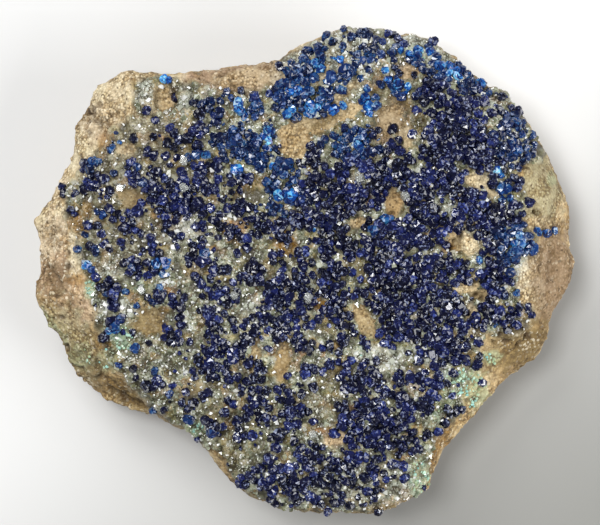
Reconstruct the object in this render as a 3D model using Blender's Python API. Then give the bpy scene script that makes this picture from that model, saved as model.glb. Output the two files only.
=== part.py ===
"""A hand specimen of kinoite: a broken slab of tan rock, 80 mm across, with a face crusted in blue
kinoite crystals and a few clear, blocky apophyllite crystals.

The slab lies on its back with the crystal face up. X runs across the face, Y up the face and Z out of
it. The origin is on the surface that the slab rests on, under the middle of its outline.
All sizes below are millimetres; MM turns them to metres where a mesh is made.
"""

import math
import random
from collections import namedtuple

import bmesh
import bpy
from mathutils import Matrix, Vector, noise
from mathutils.bvhtree import BVHTree
from mathutils.geometry import delaunay_2d_cdt

MM = 0.001

# The slab: its face, its broken walls and the flat seat underneath
FACE_LEVEL = 17.0
FACE_SPACING = 3.0
FACE_JITTER = 0.45
RIM_SPACING = 3.0
RIM_INSET = 1.3
SLOPE_POWER = 1.7
SWELL_HEIGHT = 0.45
SWELL_LENGTH = 9.0
GRAIN_HEIGHT = 0.5
GRAIN_LENGTH = 2.8
WALL_ROWS = 4
WALL_BITE = 3.4
WALL_BITE_SHARE = 0.45
WALL_BITE_LENGTH = 7.0
WALL_WANDER_LENGTH = 5.0
FOOT_CHIP = 2.3
FOOT_CHIP_LENGTH = 8.0
SEAT_SHARE = 0.72
SEAT_WANDER = 0.12
SEAT_WANDER_LENGTH = 12.0
SEAT_STEP = 3

# The crystals and how they lie on the rock
GAP = 0.35
SLIM = 0.12
CRUST_THICKNESS = 0.38
CRUST_EDGE_STEP = 1.6
EDGE_RISE = 0.5
WINDOW_SIDES = 9
WINDOW_RAGGED = 0.12
CRYSTAL_HEIGHT = 1.0
CRYSTAL_SPACING = 2.56
CRYSTAL_JITTER = 0.45
CRYSTAL_CLEARANCE = 0.8
CRYSTAL_RADIUS = 1.1
CRYSTAL_STOUTNESS = 1.9
CRYSTAL_FOOT_SIDES = 5
CRYSTAL_TOP_SIDES = 3
CRYSTAL_TOP_SHARE = 0.6
CRYSTAL_TILT = 0.14
CLUMP_CRYSTALS = 3
CLUMP_SIDES = 6
CLUMP_RAGGED = 0.08
BLOCK_SIZE = 1.25
BLOCK_CORNER_SHARE = 0.28
OVERHEAD = 60.0

# The broken outline, read around the face from the top left corner clockwise
OUTLINE = (
    (-25.3, 29.6), (-21.9, 29.1), (-15.3, 29.2), (-9.4, 30.3), (-5.2, 30.5), (-2.4, 32.4),
    (1.3, 33.6), (4.2, 35.2), (8.4, 35.8), (11.4, 35.4), (13.3, 34.2), (15.3, 34.9),
    (17.5, 34.2), (20.1, 32.3), (22.2, 31.4), (22.7, 29.8), (26.4, 27.0), (29.5, 26.4),
    (30.8, 24.2), (32.4, 22.5), (34.2, 19.5), (36.3, 16.6), (37.7, 12.6), (38.8, 9.5),
    (38.7, 5.6), (40.0, 1.6), (39.0, -1.9), (37.7, -5.3), (36.5, -6.6), (36.0, -9.6),
    (33.9, -13.1), (30.5, -15.4), (27.4, -18.7), (22.0, -24.2), (19.8, -26.6), (18.8, -30.4),
    (18.0, -32.3), (14.7, -33.9), (9.8, -35.8), (4.5, -35.3), (-0.3, -35.6), (-3.7, -35.0),
    (-8.2, -33.1), (-11.6, -30.4), (-14.0, -27.2), (-16.0, -24.8), (-18.2, -23.0),
    (-20.4, -23.1), (-22.2, -21.0), (-24.5, -21.2), (-27.3, -19.8), (-31.0, -18.5),
    (-33.8, -16.0), (-35.3, -13.2), (-36.4, -10.0), (-38.6, -7.2), (-40.0, -3.5),
    (-39.4, -0.6), (-39.1, 4.5), (-40.0, 7.3), (-37.6, 10.7), (-36.5, 13.6), (-35.0, 15.7),
    (-34.1, 19.2), (-33.9, 21.4), (-32.0, 24.7), (-30.9, 27.2), (-28.5, 28.3),
)

# Swells and hollows of the face: centre, half length, half width, turn in degrees, height
Form = namedtuple("Form", "x y length width turn height")
FORMS = {
    "dome": Form(19.5, 16.5, 17.0, 13.0, 35.0, 4.0),
    "crown": Form(6.5, 29.5, 9.0, 4.5, 12.0, 1.9),
    "crown ridge": Form(0.8, 24.8, 7.0, 2.2, 38.0, 0.8),
    "brow": Form(6.5, 18.3, 8.0, 2.4, 18.0, 0.9),
    "sandy hollow": Form(0.6, 20.8, 8.0, 2.6, 38.0, -2.1),
    "saddle": Form(12.0, 22.5, 5.0, 3.2, 70.0, -1.3),
    "ring pit": Form(16.3, 21.2, 0.9, 0.9, 0.0, -0.9),
    "brow pit": Form(-20.3, 25.0, 1.7, 2.2, -20.0, -2.0),
    "left shoulder": Form(-25.0, 12.0, 10.0, 8.0, 60.0, 1.2),
    "belly": Form(-4.0, -17.0, 17.0, 9.0, -40.0, 1.3),
    "waist": Form(10.0, -9.0, 9.0, 4.5, -50.0, -1.0),
    "oval window": Form(12.7, 9.8, 1.6, 2.3, -15.0, -0.9),
    "cream window": Form(22.8, 4.2, 2.5, 1.9, -20.0, -0.9),
    "low window": Form(24.6, -2.6, 2.2, 1.2, -25.0, -0.7),
    "long window": Form(8.2, -7.2, 3.6, 1.5, -60.0, -0.9),
    "rust window": Form(-4.0, -13.0, 3.6, 2.0, 75.0, -0.8),
    "olive window": Form(-22.8, -7.4, 2.8, 2.4, 0.0, -0.7),
}

# The bare margins slope away: side as an angle from +X, width of the slope and its drop
Margin = namedtuple("Margin", "angle width drop undercut")
MARGINS = (
    Margin(0.0, 9.0, 7.0, 4.0),
    Margin(28.0, 6.5, 7.5, 3.0),
    Margin(50.0, 4.5, 5.5, 2.5),
    Margin(76.0, 3.5, 4.5, 3.5),
    Margin(104.0, 3.5, 3.0, 4.5),
    Margin(128.0, 4.0, 3.5, 5.0),
    Margin(148.0, 8.5, 6.0, 4.0),
    Margin(180.0, 8.0, 5.5, 3.5),
    Margin(203.0, 9.5, 6.0, 3.0),
    Margin(228.0, 3.5, 3.5, 4.0),
    Margin(258.0, 2.6, 4.0, 5.0),
    Margin(290.0, 2.6, 4.5, 5.5),
    Margin(318.0, 5.5, 5.5, 4.5),
    Margin(340.0, 8.5, 6.5, 4.0),
)

# The lower left ledge: outside this line the rock steps down, with a groove along its foot
LEDGE_START = Vector((-35.5, -11.0))
LEDGE_END = Vector((-21.6, -20.4))
LEDGE_DROP = 3.4
GROOVE_DEPTH = 1.6
GROOVE_WIDTH = 0.9
CORNER_CUT = 1.2

# Fields where kinoite has grown into one crust: its edge, then its windows of bare rock, each as
# x, y, half length, half width and turn
Crust = namedtuple("Crust", "edge windows")
CRUSTS = {
    "crown": Crust(
        ((-4.6, 22.6), (-5.0, 26.0), (-4.0, 28.6), (-2.0, 30.6), (1.2, 32.2), (4.4, 33.8),
         (8.2, 34.6), (11.2, 33.8), (11.4, 31.6), (9.8, 29.4), (7.6, 28.6), (6.4, 26.4),
         (6.4, 24.2), (3.6, 22.6), (0.8, 22.0), (-2.2, 21.8)),
        ((2.8, 28.4, 1.9, 0.8, 58.0),)),
    "shoulder": Crust(
        ((-12.8, 19.8), (-10.4, 21.0), (-9.8, 23.0), (-11.0, 24.6), (-8.8, 25.8), (-6.4, 24.8),
         (-6.4, 22.4), (-4.8, 20.8), (-3.2, 19.4), (-4.0, 16.9), (-6.4, 15.8), (-9.2, 16.6),
         (-10.4, 18.0), (-12.8, 18.2)),
        ()),
    "dome": Crust(
        ((12.8, 31.2), (15.0, 32.6), (17.8, 32.2), (20.4, 30.3), (23.4, 28.4), (26.4, 26.2),
         (29.0, 24.7), (30.8, 22.4), (32.5, 19.6), (34.0, 17.0), (32.4, 15.7), (29.4, 15.2),
         (26.2, 15.2), (23.0, 16.2), (20.0, 16.0), (17.4, 17.0), (17.2, 19.4), (18.8, 21.4),
         (17.6, 23.6), (16.4, 25.8), (17.2, 28.2), (15.6, 29.4)),
        ()),
    "heart": Crust(
        ((-5.6, 14.2), (-3.4, 15.8), (-0.6, 16.0), (1.0, 18.2), (3.2, 20.0), (6.0, 20.0),
         (8.8, 20.6), (10.4, 18.6), (13.4, 18.2), (15.4, 16.4), (14.6, 14.6), (12.6, 13.6),
         (10.8, 11.6), (10.8, 8.6), (9.2, 7.0), (10.0, 4.2), (8.6, 1.6), (6.2, 1.8),
         (4.6, 4.0), (2.2, 6.0), (-0.6, 5.6), (-3.0, 6.0), (-4.2, 8.2), (-6.6, 9.6),
         (-4.8, 12.0)),
        ((7.6, 13.2, 2.4, 1.0, -8.0),)),
    "flank": Crust(
        ((16.2, 13.6), (18.4, 15.2), (21.4, 14.8), (22.8, 12.6), (25.0, 11.2), (27.2, 12.8),
         (29.2, 13.4), (31.4, 11.4), (31.2, 8.8), (30.6, 6.6), (32.8, 5.0), (33.0, 2.4),
         (31.0, 0.8), (30.4, -1.8), (29.8, -4.0), (32.0, -5.8), (29.6, -7.8), (26.6, -7.6),
         (23.2, -8.2), (24.2, -10.8), (23.6, -13.2), (20.8, -13.6), (18.6, -12.4),
         (16.8, -10.2), (14.6, -9.4), (12.6, -10.8), (11.2, -8.8), (12.4, -6.2), (12.2, -3.8),
         (10.2, -2.0), (9.8, 0.8), (11.8, 3.2), (13.0, 5.8), (15.2, 8.0), (16.0, 10.6)),
        ((22.8, 4.2, 2.5, 1.9, -20.0), (24.6, -2.8, 2.2, 1.1, -25.0))),
    "middle": Crust(
        ((-3.4, -0.8), (-1.8, -2.0), (-2.4, -4.4), (-1.4, -6.6), (-2.6, -9.2), (-4.8, -8.8),
         (-6.6, -10.8), (-9.0, -10.4), (-9.4, -8.2), (-7.8, -6.2), (-6.0, -4.2), (-5.2, -1.8)),
        ()),
    "foot": Crust(
        ((5.4, -14.0), (8.4, -14.4), (11.2, -14.8), (14.0, -16.2), (16.2, -14.6), (18.8, -15.4),
         (18.2, -18.0), (18.8, -20.8), (17.8, -23.4), (16.6, -25.8), (14.2, -27.2),
         (14.4, -30.0), (12.8, -32.6), (9.4, -34.2), (5.0, -34.0), (1.4, -34.0), (-2.4, -33.6),
         (-6.0, -32.0), (-9.0, -29.8), (-7.0, -27.8), (-3.8, -26.8), (-1.2, -28.2),
         (1.4, -26.2), (4.4, -26.4), (6.4, -24.0), (5.0, -21.0), (5.8, -18.4), (4.4, -16.0)),
        ((10.6, -30.4, 1.6, 1.1, 10.0),)),
}

# Clumps of a few kinoite crystals that stand apart: place, half length, half width, turn
Clump = namedtuple("Clump", "x y length width turn")
CLUMPS = (
    Clump(-30.2, 12.2, 2.7, 1.7, -35),
    Clump(-21.6, 13.2, 2.2, 1.8, -60),
    Clump(-18.9, 18.9, 2.1, 1.8, 60),
    Clump(-14.9, 23.4, 1.8, 1.5, -50),
    Clump(-27.4, 19.2, 1.9, 1.3, 60),
    Clump(-13.9, 14.6, 2.0, 1.5, 70),
    Clump(-10, 12.9, 2.2, 1.4, 85),
    Clump(-16.6, 9.4, 1.7, 1.4, 30),
    Clump(-11.6, 9.2, 1.6, 1.4, 0),
    Clump(-25.6, 5, 2.4, 1.8, 50),
    Clump(-21.2, 0.1, 2.0, 1.5, 15),
    Clump(-14.2, 2.1, 1.7, 1.3, 0),
    Clump(-8.6, -1.3, 1.5, 1.3, 0),
    Clump(-14, -1.8, 1.6, 1.3, -20),
    Clump(-18.6, -4.2, 1.9, 1.4, -15),
    Clump(-28, -8.4, 1.8, 1.3, 30),
    Clump(-13.2, -9, 2.0, 1.4, 25),
    Clump(-11.4, -12.9, 1.9, 1.8, 80),
    Clump(-6.4, -18, 1.8, 1.4, -50),
    Clump(-1.6, -20.8, 2.0, 1.5, 30),
    Clump(-13.5, -22.8, 1.7, 1.3, -45),
    Clump(-4.9, -23.9, 1.7, 1.4, 35),
    Clump(8.9, 23.8, 2.1, 1.3, 70),
    Clump(13.2, 26.6, 2.0, 1.3, -30),
    Clump(0, -10.8, 1.8, 1.3, 40),
    Clump(-24.4, -6.5, 1.7, 1.3, 20),
    Clump(-19.2, -9.6, 1.6, 1.3, 60),
    Clump(-22.4, -16.6, 1.9, 1.3, 10),
    Clump(-17.2, -18.6, 1.6, 1.4, -20),
    Clump(-6, 6.6, 1.8, 1.3, -10),
    Clump(3.6, -6.4, 1.8, 1.4, 75),
    Clump(3, -0.4, 1.7, 1.3, 0),
    Clump(2.2, -17.2, 1.5, 1.3, 45),
)

# Clear blocky apophyllite crystals that catch the light: place, size against the usual one, turn
Block = namedtuple("Block", "x y scale turn tilt")
BLOCKS = (
    Block(-26.8, 11.9, 1.1, 20.0, 12.0),
    Block(-17.6, 15.9, 1.0, 50.0, -15.0),
    Block(-17.7, 12.0, 1.1, 75.0, 20.0),
    Block(-23.8, -2.8, 1.2, 10.0, -10.0),
    Block(7.8, 13.2, 1.2, 15.0, 12.0),
    Block(14.3, 10.7, 1.1, 60.0, -12.0),
    Block(-10.3, -3.6, 1.0, 30.0, 18.0),
    Block(0.4, -3.9, 1.2, 55.0, -14.0),
    Block(1.0, -23.6, 1.1, 70.0, 16.0),
)

ROCK_TAN = (0.62, 0.49, 0.33)
KINOITE_BLUE = (0.028, 0.032, 0.26)
KINOITE_AZURE = (0.03, 0.19, 0.62)
APOPHYLLITE_CLEAR = (0.9, 0.93, 0.92)
AZURE_FIELDS = ("crown", "shoulder")
AZURE_CLUMPS = (5, 7, 11, 23, 24)


def smooth_step(value):
    value = min(max(value, 0.0), 1.0)
    return value * value * (3.0 - 2.0 * value)


def inside(x, y, loop):
    """Whether a point lies within a closed loop."""
    within = False
    for (x1, y1), (x2, y2) in zip(loop, loop[1:] + loop[:1]):
        if (y1 > y) != (y2 > y) and x < x1 + (x2 - x1) * (y - y1) / (y2 - y1):
            within = not within
    return within


def edge_distance(x, y, loop):
    """The distance from a point to the nearest side of a closed loop."""
    nearest = math.inf
    for (x1, y1), (x2, y2) in zip(loop, loop[1:] + loop[:1]):
        dx, dy = x2 - x1, y2 - y1
        share = ((x - x1) * dx + (y - y1) * dy) / (dx * dx + dy * dy)
        share = min(max(share, 0.0), 1.0)
        nearest = min(nearest, math.hypot(x - x1 - share * dx, y - y1 - share * dy))
    return nearest


def split_sides(loop, step):
    """The loop again, with its long sides divided so that no side is longer than step."""
    points = []
    for (x1, y1), (x2, y2) in zip(loop, loop[1:] + loop[:1]):
        parts = max(1, math.ceil(math.hypot(x2 - x1, y2 - y1) / step))
        points += [(x1 + (x2 - x1) * i / parts, y1 + (y2 - y1) * i / parts) for i in range(parts)]
    return points


def oval(x, y, length, width, turn, count, ragged, dice):
    """A ragged oval loop around a centre."""
    points = []
    lean = math.radians(turn)
    for i in range(count):
        angle = math.tau * i / count
        reach = 1.0 + dice.uniform(-ragged, ragged)
        along = length * reach * math.cos(angle)
        across = width * reach * math.sin(angle)
        points.append((x + along * math.cos(lean) - across * math.sin(lean),
                       y + along * math.sin(lean) + across * math.cos(lean)))
    return points


def jittered_grid(loop, spacing, jitter, dice):
    """Points of a hexagonal grid that fall inside a loop, each moved a little at random."""
    xs = [p[0] for p in loop]
    ys = [p[1] for p in loop]
    row_step = spacing * math.sqrt(3.0) / 2.0
    rows = math.ceil((max(ys) - min(ys)) / row_step) + 1
    columns = math.ceil((max(xs) - min(xs)) / spacing) + 1
    points = []
    for row in range(rows):
        for column in range(columns):
            x = min(xs) + (column + 0.5 * (row % 2)) * spacing + dice.uniform(-jitter, jitter)
            y = min(ys) + row * row_step + dice.uniform(-jitter, jitter)
            if inside(x, y, loop):
                points.append((x, y))
    return points


def margin_at(x, y):
    """Width, drop and undercut of the bare margin on this side of the slab."""
    angle = math.degrees(math.atan2(y, x)) % 360.0
    turned = MARGINS + (MARGINS[0]._replace(angle=360.0),)
    for before, after in zip(turned, turned[1:]):
        if before.angle <= angle <= after.angle:
            share = smooth_step((angle - before.angle) / (after.angle - before.angle))
            return [a + (b - a) * share for a, b in zip(before[1:], after[1:])]
    return list(MARGINS[0][1:])


def form_height(x, y, form):
    """How far one swell or hollow lifts the face at a point."""
    lean = math.radians(form.turn)
    along = (x - form.x) * math.cos(lean) + (y - form.y) * math.sin(lean)
    across = (y - form.y) * math.cos(lean) - (x - form.x) * math.sin(lean)
    return form.height * math.exp(-(along / form.length) ** 2 - (across / form.width) ** 2)


def ledge_height(x, y):
    """The step down and the groove at the lower left."""
    run = LEDGE_END - LEDGE_START
    place = Vector((x, y)) - LEDGE_START
    share = place.dot(run) / run.length_squared
    outward = Vector((run.y, -run.x)).normalized()
    beyond = place.dot(outward)
    held = smooth_step(share / 0.25) * smooth_step((1.12 - share) / 0.12)
    step = LEDGE_DROP * smooth_step((beyond + CORNER_CUT) / (2.0 * CORNER_CUT))
    groove = GROOVE_DEPTH * math.exp(-((beyond - CORNER_CUT) / GROOVE_WIDTH) ** 2)
    return -held * (step + groove * smooth_step(1.6 * share))


def rock_face(x, y):
    """Height of the rock's face above the surface that it rests on."""
    height = FACE_LEVEL + sum(form_height(x, y, form) for form in FORMS.values())
    height += SWELL_HEIGHT * noise.noise(Vector((x, y, 0.0)) / SWELL_LENGTH)
    width, drop, _ = margin_at(x, y)
    slope = 1.0 - min(edge_distance(x, y, OUTLINE) / width, 1.0)
    height -= drop * slope ** SLOPE_POWER
    height += GRAIN_HEIGHT * smooth_step(slope * 3.0) * noise.noise(Vector((x, y, 5.0)) / GRAIN_LENGTH)
    return height + ledge_height(x, y)


def triangulate(loops, inner):
    """Delaunay triangles inside the first loop and outside the others, and the points they join."""
    points = [p for loop in loops for p in loop] + list(inner)
    sides = []
    start = 0
    for loop in loops:
        count = len(loop)
        sides += [(start + i, start + (i + 1) % count) for i in range(count)]
        start += count
    joined = delaunay_2d_cdt([Vector(p) for p in points], sides, [], 1, 1e-6)
    assert len(joined[0]) == len(points), "two points of a loop or crystal meet"
    triangles = []
    for triangle in joined[2]:
        x = sum(points[i][0] for i in triangle) / 3.0
        y = sum(points[i][1] for i in triangle) / 3.0
        if inside(x, y, loops[0]) and not any(inside(x, y, loop) for loop in loops[1:]):
            triangles.append(tuple(triangle))
    return points, triangles


def make_solid(name, corners, faces, material, group, parent):
    """One closed mesh object from corners in millimetres."""
    mesh = bpy.data.meshes.new(name)
    mesh.from_pydata([Vector(corner) * MM for corner in corners], [], faces)
    shape = bmesh.new()
    shape.from_mesh(mesh)
    bmesh.ops.triangulate(shape, faces=shape.faces)
    bmesh.ops.recalc_face_normals(shape, faces=shape.faces)
    shape.to_mesh(mesh)
    shape.free()
    mesh.materials.append(material)
    solid = bpy.data.objects.new(name, mesh)
    solid.parent = parent
    group.objects.link(solid)
    return solid


def make_matrix(material, group, parent):
    """The rock: a face of Delaunay facets, broken walls, and an underside with one flat seat."""
    dice = random.Random(11)
    rim = split_sides(OUTLINE, RIM_SPACING)
    brink = [(x * (1.0 - RIM_INSET / math.hypot(x, y)), y * (1.0 - RIM_INSET / math.hypot(x, y)))
             for x, y in rim]
    middle = [p for p in jittered_grid(OUTLINE, FACE_SPACING, FACE_JITTER, dice)
              if edge_distance(*p, OUTLINE) > 2.0 * RIM_INSET]
    points, triangles = triangulate([rim], brink + middle)
    corners = [(x, y, rock_face(x, y)) for x, y in points]
    faces = list(triangles)

    columns = len(rim)
    above = list(range(columns))
    for row in range(1, WALL_ROWS + 1):
        share = row / WALL_ROWS
        ring = []
        for column, (x, y) in enumerate(rim):
            reach = math.hypot(x, y)
            undercut = margin_at(x, y)[2]
            foot = FOOT_CHIP * (1.1 + noise.noise(Vector((x, y, 9.0)) / FOOT_CHIP_LENGTH))
            height = corners[column][2] * (1.0 - share) + foot * share
            wander = noise.noise(Vector((x, y, 30.0 * share)) / WALL_WANDER_LENGTH)
            height += FOOT_CHIP * share * (1.0 - share) * wander
            broken = noise.noise(Vector((x, y, 1.7 * height)) / WALL_BITE_LENGTH)
            bite = WALL_BITE * max(0.0, WALL_BITE_SHARE + broken) * smooth_step(2.0 * share)
            inset = undercut * share ** 1.5 + bite
            ring.append(len(corners))
            corners.append((x * (1.0 - inset / reach), y * (1.0 - inset / reach), height))
        for i in range(columns):
            j = (i + 1) % columns
            faces += [(above[i], above[j], ring[j]), (above[i], ring[j], ring[i])]
        above = ring

    foot_loop = [corners[i][:2] for i in above]
    seat = []
    for x, y in foot_loop[::SEAT_STEP]:
        share = SEAT_SHARE + SEAT_WANDER * noise.noise(Vector((x, y, 3.0)) / SEAT_WANDER_LENGTH)
        seat.append((x * share, y * share))
    _, under = triangulate([foot_loop], seat)
    below = above + list(range(len(corners), len(corners) + len(seat)))
    corners += [(x, y, 0.0) for x, y in seat]
    faces += [(below[c], below[b], below[a]) for a, b, c in under]
    return make_solid("matrix", corners, faces, material, group, parent)


class Bed:
    """The rock's face as something to lie on, a small gap clear of it."""

    def __init__(self, rock):
        self.tree = BVHTree.FromPolygons([v.co / MM for v in rock.data.vertices],
                                         [f.vertices[:] for f in rock.data.polygons])
        self.corners = [(v.co.x / MM, v.co.y / MM) for v in rock.data.vertices if v.normal.z > 0.3]

    def height(self, x, y):
        """The rock's height at a point, plus the gap."""
        hit = self.tree.ray_cast(Vector((x, y, OVERHEAD)), Vector((0, 0, -1)))[0]
        return hit.z + GAP

    def highest(self, x, y, reach):
        """The highest rock around a point, plus the gap."""
        around = [(x + reach * math.cos(a), y + reach * math.sin(a))
                  for a in (math.tau * i / 8.0 for i in range(8))]
        return max(self.height(*place) for place in [(x, y)] + around)

    def corners_under(self, loops):
        """The corners of the rock's facets that lie well inside a field."""
        return [p for p in self.corners if inside(*p, loops[0])
                and not any(inside(*p, loop) for loop in loops[1:])
                and min(edge_distance(*p, loop) for loop in loops) > SLIM]


def crystal_points(centre, reach, height, dice):
    """A stubby crystal: a five-sided foot and a smaller, tilted flat top, as (x, y, rise)."""
    turn = dice.uniform(0.0, math.tau)
    lean = dice.uniform(0.0, math.tau)
    foot = []
    for i in range(CRYSTAL_FOOT_SIDES):
        angle = turn + math.tau * (i + dice.uniform(-0.12, 0.12)) / CRYSTAL_FOOT_SIDES
        foot.append((centre[0] + reach * math.cos(angle), centre[1] + reach * math.sin(angle), 0.0))
    top = []
    for i in range(CRYSTAL_TOP_SIDES):
        angle = turn + math.tau * (i + 0.3) / CRYSTAL_TOP_SIDES
        rise = height * (1.0 - CRYSTAL_TILT + CRYSTAL_TILT * math.cos(angle - lean))
        top.append((centre[0] + CRYSTAL_TOP_SHARE * reach * math.cos(angle),
                    centre[1] + CRYSTAL_TOP_SHARE * reach * math.sin(angle), rise))
    return foot + top


def crust_centres(edge, windows, dice):
    """Where the crystals of a crust stand: all over it, clear of its edge and windows."""
    return [(x, y) for x, y in jittered_grid(edge, CRYSTAL_SPACING, CRYSTAL_JITTER, dice)
            if edge_distance(x, y, edge) > CRYSTAL_CLEARANCE
            and not any(inside(x, y, loop) or edge_distance(x, y, loop) < CRYSTAL_CLEARANCE
                        for loop in windows)]


def clump_centres(clump, dice):
    """Where the few crystals of a clump stand: around its middle."""
    turn = dice.uniform(-0.4, 0.4)
    lean = math.radians(clump.turn)
    centres = []
    for i in range(CLUMP_CRYSTALS):
        angle = turn + math.tau * i / CLUMP_CRYSTALS
        along = 0.5 * clump.length * math.cos(angle)
        across = 0.5 * clump.width * math.sin(angle)
        centres.append((clump.x + along * math.cos(lean) - across * math.sin(lean),
                        clump.y + along * math.sin(lean) + across * math.cos(lean)))
    return centres


def make_crust(name, edge, windows, centres, bed, material, group, parent, dice):
    """Kinoite grown together: a thin crust with crystals rising from it, closed underneath."""
    loops = [split_sides(edge, CRUST_EDGE_STEP)] + windows
    inner = []
    for x, y in centres:
        free = min(edge_distance(x, y, loop) for loop in loops)
        nearest = min(math.hypot(x - ox, y - oy) for ox, oy in centres if (ox, oy) != (x, y))
        reach = min(CRYSTAL_RADIUS, 0.48 * nearest, free - SLIM)
        height = min(CRYSTAL_HEIGHT * dice.uniform(0.75, 1.0), CRYSTAL_STOUTNESS * reach)
        inner += crystal_points((x, y), reach, height, dice)

    points, triangles = triangulate(loops, [p[:2] for p in inner])
    ragged = [dice.uniform(0.0, EDGE_RISE) for _ in range(len(points) - len(inner))]
    rises = ragged + [p[2] for p in inner]
    corners = [(x, y, bed.height(x, y) + CRUST_THICKNESS + rise)
               for (x, y), rise in zip(points, rises)]
    faces = list(triangles)

    under_points, under = triangulate(loops, bed.corners_under(loops))
    first = len(corners)
    corners += [(x, y, bed.height(x, y)) for x, y in under_points]
    faces += [(first + c, first + b, first + a) for a, b, c in under]
    start = 0
    for loop in loops:
        for i in range(len(loop)):
            a, b = start + i, start + (i + 1) % len(loop)
            faces += [(a, first + a, first + b), (a, first + b, b)]
        start += len(loop)
    return make_solid(name, corners, faces, material, group, parent)


def make_block(name, block, bed, material, group, parent):
    """A clear apophyllite crystal: a block with its corners cut off, tilted on the rock."""
    size = BLOCK_SIZE * block.scale
    shape = bmesh.new()
    bmesh.ops.create_cube(shape, size=size * MM)
    cut = BLOCK_CORNER_SHARE * size * MM
    bmesh.ops.bevel(shape, geom=shape.verts, offset=cut, segments=1, affect="VERTICES")
    turn = Matrix.Rotation(math.radians(block.turn), 4, "Z")
    tilt = Matrix.Rotation(math.radians(block.tilt), 4, "X")
    bmesh.ops.transform(shape, matrix=turn @ tilt, verts=shape.verts)
    lowest = min(v.co.z for v in shape.verts)
    height = bed.highest(block.x, block.y, 0.6 * size)
    place = Vector((block.x * MM, block.y * MM, height * MM - lowest))
    bmesh.ops.translate(shape, vec=place, verts=shape.verts)
    bmesh.ops.triangulate(shape, faces=shape.faces)
    mesh = bpy.data.meshes.new(name)
    shape.to_mesh(mesh)
    shape.free()
    mesh.materials.append(material)
    solid = bpy.data.objects.new(name, mesh)
    solid.parent = parent
    group.objects.link(solid)
    return solid


def make_material(name, colour, roughness, transmission=0.0):
    material = bpy.data.materials.new(name)
    material.use_nodes = True
    shader = material.node_tree.nodes["Principled BSDF"]
    shader.inputs["Base Color"].default_value = (*colour, 1.0)
    shader.inputs["Roughness"].default_value = roughness
    shader.inputs["Metallic"].default_value = 0.0
    shader.inputs["Transmission Weight"].default_value = transmission
    material.diffuse_color = (*colour, 1.0)
    return material


def build():
    for thing in list(bpy.data.objects):
        bpy.data.objects.remove(thing, do_unlink=True)
    group = bpy.data.collections.new("kinoite specimen")
    bpy.context.scene.collection.children.link(group)
    specimen = bpy.data.objects.new("specimen", None)
    group.objects.link(specimen)

    rock = make_material("tan rock", ROCK_TAN, 0.92)
    blue = make_material("kinoite, royal blue", KINOITE_BLUE, 0.22)
    azure = make_material("kinoite, azure", KINOITE_AZURE, 0.22)
    clear = make_material("apophyllite", APOPHYLLITE_CLEAR, 0.08, transmission=0.85)

    matrix = make_matrix(rock, group, specimen)
    bed = Bed(matrix)
    for number, (field, crust) in enumerate(CRUSTS.items()):
        dice = random.Random(100 + number)
        windows = [oval(*window, WINDOW_SIDES, WINDOW_RAGGED, dice) for window in crust.windows]
        shade = azure if field in AZURE_FIELDS else blue
        centres = crust_centres(crust.edge, windows, dice)
        make_crust("kinoite_crust_" + field, crust.edge, windows, centres, bed, shade,
                   group, specimen, dice)
    for number, clump in enumerate(CLUMPS, 1):
        dice = random.Random(200 + number)
        shade = azure if number in AZURE_CLUMPS else blue
        edge = tuple(oval(*clump, CLUMP_SIDES, CLUMP_RAGGED, dice))
        make_crust(f"kinoite_cluster_{number:02d}", edge, [], clump_centres(clump, dice), bed, shade,
                   group, specimen, dice)
    for number, block in enumerate(BLOCKS, 1):
        make_block(f"apophyllite_{number:02d}", block, bed, clear, group, specimen)


build()
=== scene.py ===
"""The looks of a kinoite specimen: a slab of weathered skarn, 80 mm across, that lies on its back with
a druse of small glassy apophyllite on its face and thousands of blue kinoite crystals on the druse.

X runs across the face, Y up the face and Z out of it. Places and sizes below are millimetres; MM turns
them to metres where a mesh is made.
"""

import math
import random
from collections import namedtuple

import bmesh
import bpy
import numpy as np
from mathutils import Euler, Matrix, Vector, noise
from mathutils.bvhtree import BVHTree


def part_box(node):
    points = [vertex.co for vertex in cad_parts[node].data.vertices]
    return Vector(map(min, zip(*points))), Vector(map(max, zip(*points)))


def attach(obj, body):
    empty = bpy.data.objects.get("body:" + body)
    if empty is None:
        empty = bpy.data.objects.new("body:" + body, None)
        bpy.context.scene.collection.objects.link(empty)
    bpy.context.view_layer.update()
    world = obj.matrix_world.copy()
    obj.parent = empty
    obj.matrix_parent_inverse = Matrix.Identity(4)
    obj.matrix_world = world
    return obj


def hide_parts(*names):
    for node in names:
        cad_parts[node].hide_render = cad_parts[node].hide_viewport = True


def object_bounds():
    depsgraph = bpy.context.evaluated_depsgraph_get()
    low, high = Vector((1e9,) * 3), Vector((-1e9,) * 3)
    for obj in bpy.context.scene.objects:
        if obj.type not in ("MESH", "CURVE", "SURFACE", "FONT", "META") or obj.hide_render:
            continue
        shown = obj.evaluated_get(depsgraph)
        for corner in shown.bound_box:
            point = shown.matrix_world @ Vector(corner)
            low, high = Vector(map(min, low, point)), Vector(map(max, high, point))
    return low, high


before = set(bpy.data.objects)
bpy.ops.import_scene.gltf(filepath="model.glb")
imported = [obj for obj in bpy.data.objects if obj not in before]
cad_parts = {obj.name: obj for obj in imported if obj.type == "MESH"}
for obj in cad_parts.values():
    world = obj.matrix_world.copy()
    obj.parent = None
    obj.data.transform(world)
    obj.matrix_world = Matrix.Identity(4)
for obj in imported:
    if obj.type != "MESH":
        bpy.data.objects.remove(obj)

MM = 0.001
UP = Vector((0.0, 0.0, 1.0))
CAD_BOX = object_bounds()

# The picture in pixels, with the width and the middle of the specimen's outline in it
PICTURE_WIDTH = 600.0
PICTURE_HEIGHT = 525.0
OUTLINE_WIDTH = 545.0
OUTLINE_MIDDLE = (305.5, 270.5)
MM_PER_PIXEL = (CAD_BOX[1].x - CAD_BOX[0].x) / MM / OUTLINE_WIDTH

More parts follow.
